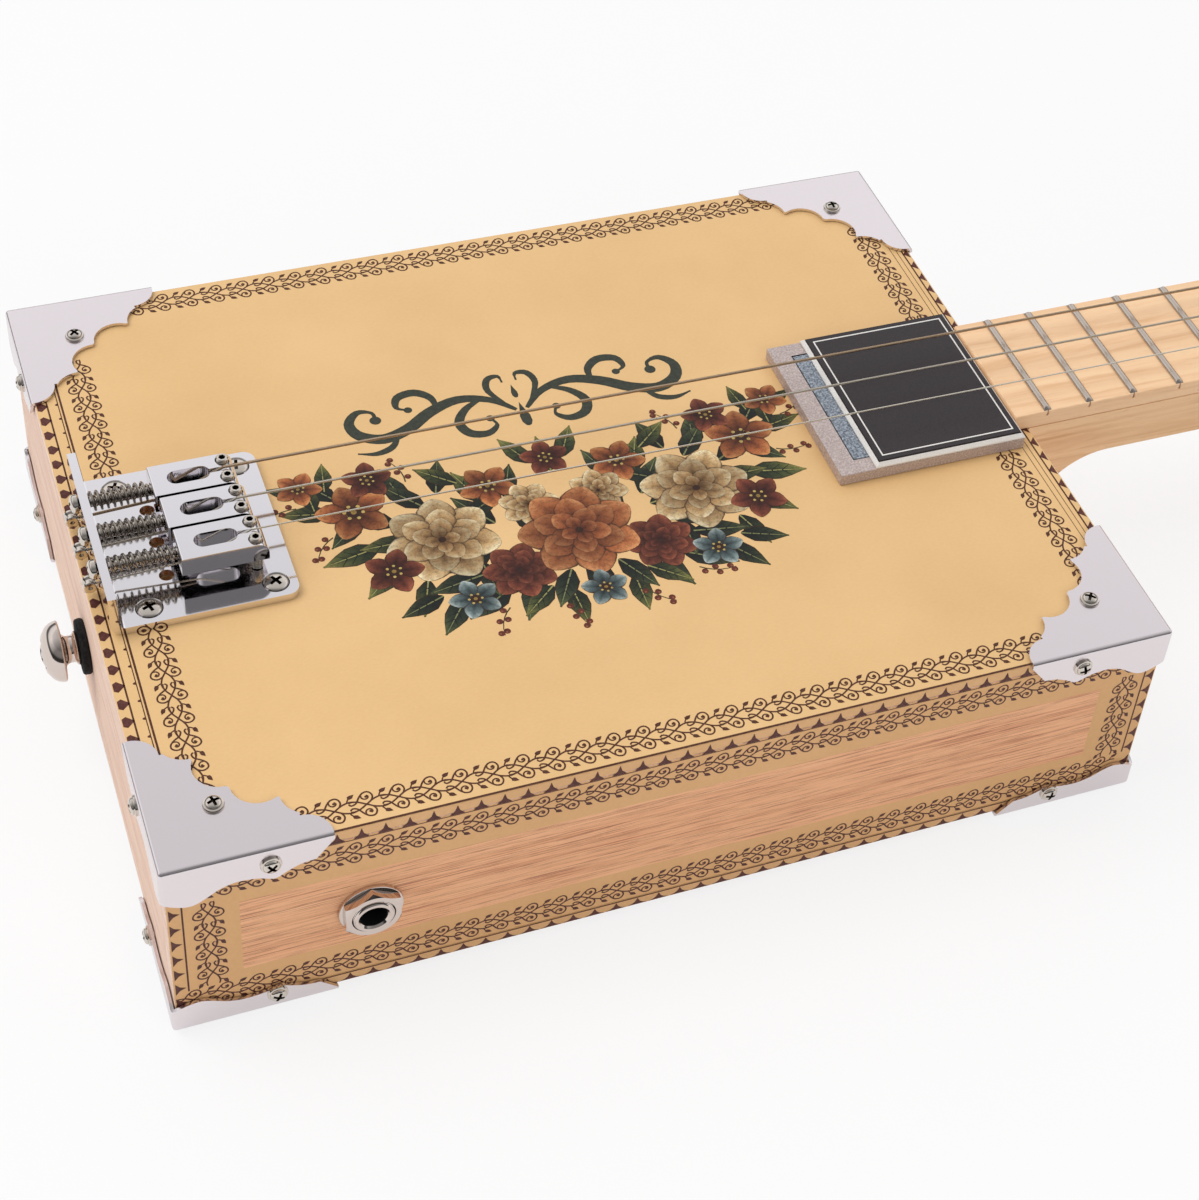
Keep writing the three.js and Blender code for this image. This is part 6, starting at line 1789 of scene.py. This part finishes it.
def wheel_solid():
    """The worm wheel, its teeth leaning with the worm's thread."""
    flank = ((-TOOTH_DEDENDUM, 1), (0, 1), (TOOTH_ADDENDUM - TOOTH_TIP_CHAMFER, 1),
             (TOOTH_ADDENDUM, TOOTH_TIP_SHARE))
    corners = []
    for tooth in range(WHEEL_TEETH):
        angle = math.tau * (tooth + 0.5) / WHEEL_TEETH
        for height, share in [(height, -share) for height, share in flank] + list(reversed(flank)):
            corners.append(rotated(WHEEL_PITCH_RADIUS + height, share * tooth_half(height), angle))
    lead = TOOTH_PITCH / (math.tau * WORM_PITCH_RADIUS)
    rings = []
    for step in range(WHEEL_STEPS + 1):
        z = WHEEL_THICK * (step / WHEEL_STEPS - 0.5)
        lean = z * lead / WHEEL_PITCH_RADIUS
        rings.append([(*rotated(x, y, lean), z - WORM_DROP) for x, y in corners])
    return loft(rings)


def post_shape():
    face = HEAD_FACE - NECK_BOTTOM
    bottom = -WORM_DROP - WHEEL_THICK / 2
    end = bottom - POST_END
    radius, waist = POST_RADIUS, POST_WAIST_RADIUS
    start, stop, top = face + POST_WAIST_START, face + POST_WAIST_END, face + POST_HEIGHT
    chamfer = radius - waist
    profile = [(0, end), (POST_END_RADIUS - POST_END_CHAMFER, end), (POST_END_RADIUS, end + POST_END_CHAMFER),
               (POST_END_RADIUS, bottom - WHEEL_GAP), (radius, bottom - WHEEL_GAP), (radius, start - chamfer),
               (waist, start), (waist, stop), (radius, stop + chamfer), (radius, top - chamfer),
               (radius - POST_TOP_CHAMFER, top - POST_TOP_CHAMFER), (waist, top), (0, top)]
    reach = radius + OVERRUN
    hole = rod(POST_HOLE_RADIUS, 2 * reach, (-reach, 0, (start + stop) / 2), X, 24)
    along, half = POST_SLOT_HALF
    slot = box_solid((-along, -half, end - OVERRUN), (along, half, end + POST_SLOT_DEPTH))
    return shaped("tuner_post", lathe(profile, 40), [hole, slot])


def worm_solid():
    """The worm's thread, a right-handed ridge round the y axis."""
    turns = (WORM_LENGTH - TOOTH_PITCH) / TOOTH_PITCH
    steps = math.ceil(turns * WORM_STEPS)
    sunk = WORM_ROOT_RADIUS - WORM_SUNK
    foot, tip = tooth_half(sunk - WORM_PITCH_RADIUS), tooth_half(TOOTH_ADDENDUM)
    section = ((sunk, -foot), (WORM_RADIUS, -tip), (WORM_RADIUS, tip), (sunk, foot))
    rings = []
    for step in range(steps + 1):
        turned = turns * (step / steps - 0.5)
        angle = math.tau * turned - math.pi / 2
        rings.append([(radius * math.sin(angle), TOOTH_PITCH * turned + along, radius * math.cos(angle))
                      for radius, along in section])
    return loft(rings)


def wave(value, power):
    """A sine or cosine made fuller by a power under 1."""
    return math.copysign(abs(value) ** power, value)


def key_shaft():
    radius, neck_radius, edge = KEY_SHAFT_RADIUS, KEY_NECK_RADIUS, KEY_CHAMFER
    neck = EAR_Y + TUNER_SHEET + KEY_SHAFT_LENGTH
    button = neck + KEY_NECK_LENGTH
    tail = EAR_Y + TUNER_SHEET + CLEARANCE
    wider, before = KEY_COLLAR
    collar = neck_radius + wider
    profile = [(0, -tail), (radius - edge, -tail), (radius, -tail + edge), (radius, -SHOULDER_Y),
               (WORM_ROOT_RADIUS, -SHOULDER_Y), (WORM_ROOT_RADIUS, SHOULDER_Y), (radius, SHOULDER_Y),
               (radius, neck), (neck_radius - edge, neck), (neck_radius, neck + edge),
               (neck_radius, button - before), (collar, button + wider), (collar, button + OVERRUN),
               (0, button + OVERRUN)]
    return lathe(profile, 32).at((0, 0, 0), Y).join(worm_solid())


def key_button():
    power, rim_power, dome_power = BUTTON_POWERS
    start = EAR_Y + TUNER_SHEET + KEY_SHAFT_LENGTH + KEY_NECK_LENGTH
    middle_y = start + BUTTON_LENGTH / 2 - OVERRUN
    rings = []
    for step in range(BUTTON_STEPS + 1):
        angle = math.pi * (step / BUTTON_STEPS - 0.5)
        height = BUTTON_THICK / 2 * wave(math.sin(angle), dome_power)
        share = max(max(math.cos(angle), 0) ** rim_power, BUTTON_LEAST_SHARE)
        ring = []
        for side in range(BUTTON_SIDES):
            x, y = (wave(value, power) * share for value in on_circle(1, math.tau * side / BUTTON_SIDES))
            ring.append((BUTTON_WIDTH / 2 * x, middle_y + BUTTON_LENGTH / 2 * y, height))
        rings.append(ring)
    return loft(rings)


def make_tuners():
    plate, ears = tuner_plate_shape()
    screw = pan_head("tuner_screw", *TUNER_SCREW_HEAD, TUNER_SCREW_RADIUS, TUNER_SCREW_LENGTH)
    wheel = bare_object("tuner_wheel", wheel_solid())
    post = post_shape()
    shaft = bare_object("tuner_shaft", key_shaft())
    button = bare_object("tuner_button", key_button())
    for index in STRINGS:
        matrix = move(post_place(index))
        if TUNER_SIDES[index] < 0:
            matrix = matrix @ turn(180)
        again(plate, f"tuner_plate_{index}_sheet", "chrome", matrix)
        for number, ear in enumerate(ears):
            again(ear, f"tuner_plate_{index}_ear_{number + 1}", "chrome", matrix)
        for number, x in enumerate(tuner_screw_xs()):
            seat = matrix @ move((x, 0, -TUNER_UNDER)) @ turn(180, "X")
            again(screw, f"tuner_plate_{index}_screw_{number + 1}", "steel", seat)
        again(wheel, f"tuner_post_{index}_wheel", "brass", matrix)
        again(post, f"tuner_post_{index}_shaft", "chrome", matrix)
        key = matrix @ move((WORM_OFFSET, 0, -WORM_DROP))
        again(shaft, f"tuner_key_{index}_shaft", "chrome", key)
        again(button, f"tuner_key_{index}_button", "chrome", key, sharp=60)
    for obj in [plate, screw, wheel, post, shaft, button] + ears:
        bpy.data.objects.remove(obj)


# Jack and strap button

JACK_NOSE_PROUD = 3.6
JACK_BORE_RADIUS = 3.25
JACK_MOUTH_RADIUS = 3.6
JACK_MOUTH_DEPTH = 0.5
JACK_MOUTH_EDGE = 0.1
JACK_NOSE_EDGE = 0.3
JACK_BARREL_RADIUS = 6.5
JACK_BARREL_LENGTH = 30
JACK_END_WALL = 2
# Ridges of the nose's thread
JACK_RIDGES = 6
JACK_RIDGE_START = 0.3
JACK_RIDGE_PITCH = 0.45
JACK_RIDGE_DEPTH = 0.22
JACK_RIDGE_RISE = 0.15
JACK_RIDGE_CREST = 0.12
JACK_THREAD_END = 3.2
# A thin near black sheet inside the jack's bore, as painted shade: where it starts, its gap to the bore and
# its thickness
BORE_SHADE_START = 0.6
BORE_SHADE_GAP = 0.01
BORE_SHADE_THICK = 0.05
WASHER_EDGE = 0.1
# The washer's outer edge: inset from its rim, and distance from its face
WASHER_ROUNDING = ((0.3, 0), (0.09, 0.09), (0, 0.3))
# The hexagon nut's chamfer, as shares of its corner radius
JACK_NUT_FACE_SHARE = 0.87
JACK_NUT_CHAMFER_SHARE = 0.1
JACK_NUT_REACH_SHARE = 1.02
JACK_NUT_KEPT_RISE = 0.01
JACK_NUT_BORE_EDGE = 0.2


def make_jack():
    place = middle("jack_socket")
    bore, mouth, nose = JACK_BORE_RADIUS, JACK_MOUTH_RADIUS, JACK_NOSE_RADIUS
    back = JACK_NOSE_PROUD + SIDE_BOARD + GLUE_GAP
    end = back + JACK_BARREL_LENGTH
    floor = end - JACK_END_WALL
    matrix = pointing(Y, (place.x, FRONT_Y - JACK_NOSE_PROUD, place.z))
    profile = [(0, floor), (bore, floor), (bore, JACK_MOUTH_DEPTH), (mouth, JACK_MOUTH_EDGE),
               (mouth + JACK_MOUTH_EDGE, 0), (nose - JACK_NOSE_EDGE, 0)]
    for start in (JACK_RIDGE_START + JACK_RIDGE_PITCH * ring for ring in range(JACK_RIDGES)):
        profile += [(nose - JACK_RIDGE_DEPTH, start - JACK_RIDGE_RISE), (nose, start),
                    (nose, start + JACK_RIDGE_CREST)]
    profile += [(nose, JACK_THREAD_END), (nose, back), (JACK_BARREL_RADIUS, back),
                (JACK_BARREL_RADIUS, end), (0, end)]
    make("jack_socket_body", lathe(profile, 64), "satin", matrix=matrix)
    # Painted shade: a near black sheet over the bore's wall, from just inside the mouth to near the floor
    outer = bore - BORE_SHADE_GAP
    inner, bore_shade_end = outer - BORE_SHADE_THICK, floor - GLUE_GAP
    bore_shade = [(inner, BORE_SHADE_START), (outer, BORE_SHADE_START), (outer, bore_shade_end), (inner, bore_shade_end)]
    make("jack_lining", lathe(bore_shade, 64, closed=True), "dark", matrix=matrix)
    low, high = span("jack_washer")
    outer, thick = (high.x - low.x) / 2, high.y - low.y
    hole = nose + CLEARANCE
    rounding = [(outer - inset, along) for inset, along in WASHER_ROUNDING]
    ring = [(hole, WASHER_EDGE), (hole + WASHER_EDGE, 0)] + rounding + [(outer, thick), (hole, thick)]
    make("jack_washer_ring", lathe(ring, 64, closed=True), "satin",
         matrix=pointing(Y, (place.x, low.y, place.z)))
    low, high = span("jack_nut")
    thick = high.y - low.y
    corner = max(high.x - low.x, high.z - low.z) / 2
    outline = [on_circle(corner, math.radians(60 * side + 90)) for side in range(6)]
    if high.x - low.x > high.z - low.z:
        outline = [(y, -x) for x, y in outline]
    face, reach = corner * JACK_NUT_FACE_SHARE, corner * JACK_NUT_REACH_SHARE
    rise = JACK_NUT_KEPT_RISE
    chamfer = [(0, -rise), (face, -rise), (reach, corner * JACK_NUT_CHAMFER_SHARE),
               (reach, thick + rise), (0, thick + rise)]
    bore = [(0, -OVERRUN), (hole + WASHER_EDGE, -OVERRUN), (hole, JACK_NUT_BORE_EDGE),
            (hole, thick + OVERRUN), (0, thick + OVERRUN)]
    # The nut's bore gets painted shade
    make("jack_nut_body", prism(outline[::-1], 0, thick), "satin", kept=[lathe(chamfer, 64)],
         recess=lathe(bore), matrix=pointing(Y, (place.x, low.y, place.z)))


# Half section of the strap button from the felt to the dome: distance from the felt, and radius
STRAP_SHARES = ((0, 0.54), (0.01, 0.55), (0.08, 0.55), (0.1, 0.52), (0.13, 0.46), (0.2, 0.44), (0.3, 0.44),
                (0.36, 0.465), (0.4, 0.5), (0.43, 0.57), (0.445, 0.65), (0.46, 0.9), (0.47, 0.96),
                (0.49, 0.99), (0.525, 1), (0.6, 0.985), (0.7, 0.95), (0.8, 0.88), (0.86, 0.815),
                (0.9, 0.75), (0.96, 0.65), (1, 0.58))
STRAP_SCREW_RADIUS = 1.8
STRAP_SCREW_LENGTH = 25
STRAP_SCREW_HEAD_RADIUS = 3.6
STRAP_SCREW_HEAD_HEIGHT = 1.6
STRAP_SCREW_HEAD_RIM = (0.2, 0.05)
STRAP_RECESS = 1.2
STRAP_RECESS_EDGE = 0.15
# The felt's edge: inset from its rim, a share of its thickness, and a distance from there
FELT_EDGE = ((0.35, 0, 0), (0.05, 0, 0.3), (0, 0.35, 0), (0.06, 0.65, 0), (0.1, 1, -0.35), (0.4, 1, 0))
# The point of the screw: radius and distance from its tip, up to the full shank
STRAP_POINT = ((0, 0), (0.4, 1), (STRAP_SCREW_RADIUS, 4))


def make_strap():
    low, high = span("strap_button")
    place = middle("strap_button")
    length, radius = high.x - low.x, (high.y - low.y) / 2
    recess_radius = STRAP_SCREW_HEAD_RADIUS + CLEARANCE
    hole = STRAP_SCREW_RADIUS + CLEARANCE
    floor = length - STRAP_RECESS
    profile = [(hole, 0)] + [(out * radius, along * length) for along, out in STRAP_SHARES]
    profile += [(recess_radius + STRAP_RECESS_EDGE, length), (recess_radius, length - STRAP_RECESS_EDGE),
                (recess_radius, floor), (hole, floor)]
    make("strap_button_body", lathe(profile, 72, closed=True), "satin", sharp=50,
         matrix=pointing(-X, (high.x, place.y, place.z)))
    low, high = span("strap_washer")
    outer, thick = (high.y - low.y) / 2, high.x - low.x
    edge = [(outer - inset, thick * share + along) for inset, share, along in FELT_EDGE]
    ring = [(hole, 0)] + edge + [(hole, thick)]
    make("strap_washer_felt", lathe(ring, 72, closed=True), "felt", sharp=60,
         matrix=pointing(-X, (high.x, place.y, place.z)))
    seat = span("strap_screw")[0].x + STRAP_SCREW_HEAD_HEIGHT
    inset, rim = STRAP_SCREW_HEAD_RIM
    profile = [(out, along - STRAP_SCREW_LENGTH) for out, along in STRAP_POINT]
    profile += [(STRAP_SCREW_RADIUS, 0), (STRAP_SCREW_HEAD_RADIUS - inset, 0)]
    profile += dome(STRAP_SCREW_HEAD_RADIUS, STRAP_SCREW_HEAD_HEIGHT - rim, rim, 8)
    recess = cross_recess(*STRAP_CROSS, STRAP_SCREW_HEAD_HEIGHT)
    make("strap_screw_body", lathe(profile), "steel", recess=recess,
         matrix=pointing(-X, (seat, place.y, place.z)), slot="chrome")


make_boards()
make_guards()
make_bridge()
make_pickup()
make_neck()
make_fretboard()
make_nut()
make_tuners()
make_jack()
make_strap()
print_lid()
print_picture()
print_long_side("print_front", Print((0, FRONT_Y - INK_LIFT, 0), X, Z))
print_long_side("print_back", Print((0, BACK_Y + INK_LIFT, 0), -X, Z))


# The studio, with the camera fitted to the photograph: where it stands, where it looks, and the lens

PHOTO_HEIGHT = 1200
PHOTO_CENTRE = (599.5, 600)
PRINCIPAL_POINT = (719.7, 414.6)
FOCAL_PIXELS = 2485.4
SENSOR = 36
CAMERA_PLACE = (-163.5, -424.2, 485.8)
CAMERA_RIGHT = (0.92888658, -0.35980048, 0.08782559)
CAMERA_DOWN = (-0.18157427, -0.64908511, -0.73872817)
CAMERA_FORWARD = (0.32280103, 0.67024781, -0.66825696)
CLIP_DISTANCES = (0.01, 50)
FLOOR_REACH = 6
# The room's brightness by the height of a direction, and the side from which it is darker
SKY = ((0, 0.2), (0.22, 0.14), (0.36, 0.9), (0.62, 1.05), (0.72, 0.78), (1, 0.6))
SKY_BLUE = 1.02
DARK_FROM = (-0.25, -0.97, 0)
# How far a direction leans to that side, from and to, and the light's share at both
DARK_SHARES = (-0.1, 0.6, 1, 0.25)
# The floor's own glow, as the camera sees it and as shiny parts do
FLOOR_SEEN = 0.8
FLOOR_MIRRORED = 0.45
# Lamps in metres and watts: place, size and power
LAMPS = {"key": ((-1.3, 0.3, 1.7), (1.4, 1.4), 18), "fill": ((0.1, -1.8, 1.0), (1.2, 0.8), 10)}


def make_camera():
    data = bpy.data.cameras.new("camera")
    camera = new_object("camera", data)
    axes = Matrix((CAMERA_RIGHT, [-value for value in CAMERA_DOWN], [-value for value in CAMERA_FORWARD]))
    camera.matrix_world = move(ORIGIN + Vector(CAMERA_PLACE) * MM) @ axes.transposed().to_4x4()
    data.sensor_fit = "VERTICAL"
    data.sensor_height = SENSOR
    data.lens = FOCAL_PIXELS * SENSOR / PHOTO_HEIGHT
    data.shift_x = (PHOTO_CENTRE[0] - PRINCIPAL_POINT[0]) / PHOTO_HEIGHT
    data.shift_y = (PRINCIPAL_POINT[1] - PHOTO_CENTRE[1]) / PHOTO_HEIGHT
    data.clip_start, data.clip_end = CLIP_DISTANCES
    bpy.context.scene.camera = camera


def make_floor():
    look = Look("floor", (244, 243, 243), 0.8, Specular_IOR_Level=0.1)
    rays = look.node("LightPath").outputs
    mirrored = look.sum("MULTIPLY", rays["Is Glossy Ray"], FLOOR_MIRRORED)
    share = look.sum("MULTIPLY_ADD", rays["Is Camera Ray"], FLOOR_SEEN, mirrored)
    glow = look.node("Emission", {"Color": (1, 1, 1, 1), "Strength": 1.0})
    mixed = look.node("MixShader", {0: share, 1: look.shader.outputs[0], 2: glow.outputs[0]})
    look.plug(look.tree.nodes["Material Output"].inputs["Surface"], mixed.outputs[0])
    mesh = bpy.data.meshes.new("floor")
    corners = rectangle((-FLOOR_REACH, -FLOOR_REACH), (FLOOR_REACH, FLOOR_REACH))
    mesh.from_pydata([(x, y, 0) for x, y in corners], [], [(0, 1, 2, 3)])
    mesh.materials.append(look.material)
    new_object("floor", mesh)


def make_world():
    world = bpy.data.worlds.new("studio")
    bpy.context.scene.world = world
    world.use_nodes = True
    world.node_tree.nodes.clear()
    sky = Nodes(world.node_tree)
    direction = sky.node("TexCoord").outputs["Generated"]
    height = sky.sum("MULTIPLY_ADD", sky.parts(direction)["Z"], 0.5, 0.5)
    colour = sky.ramp(height, *[((rise + 1) / 2, [level, level, level * SKY_BLUE, 1]) for rise, level in SKY])
    side = sky.node("VectorMath", {0: direction, 1: DARK_FROM}, operation="DOT_PRODUCT").outputs["Value"]
    light = sky.node("Background", {"Color": colour, "Strength": sky.spread(side, *DARK_SHARES)})
    plain = sky.node("Background", {"Color": (1, 1, 1, 1)})
    seen = sky.node("LightPath").outputs["Is Camera Ray"]
    mixed = sky.node("MixShader", {0: seen, 1: light.outputs[0], 2: plain.outputs[0]})
    sky.node("OutputWorld", {0: mixed.outputs[0]})


def make_lamp(name, place, size, power):
    """A soft area lamp that looks at the middle of the box."""
    data = bpy.data.lights.new(name, "AREA")
    data.shape = "RECTANGLE"
    data.size, data.size_y = size
    data.energy = power
    lamp = new_object(name, data)
    lamp.visible_glossy = False
    aim = Vector((ORIGIN.x, 0, 0)) - Vector(place)
    lamp.matrix_world = move(place) @ aim.to_track_quat("-Z", "Y").to_matrix().to_4x4()


make_camera()
make_floor()
make_world()
for name, settings in LAMPS.items():
    make_lamp(name, *settings)
bpy.context.scene.view_settings.view_transform = "Standard"
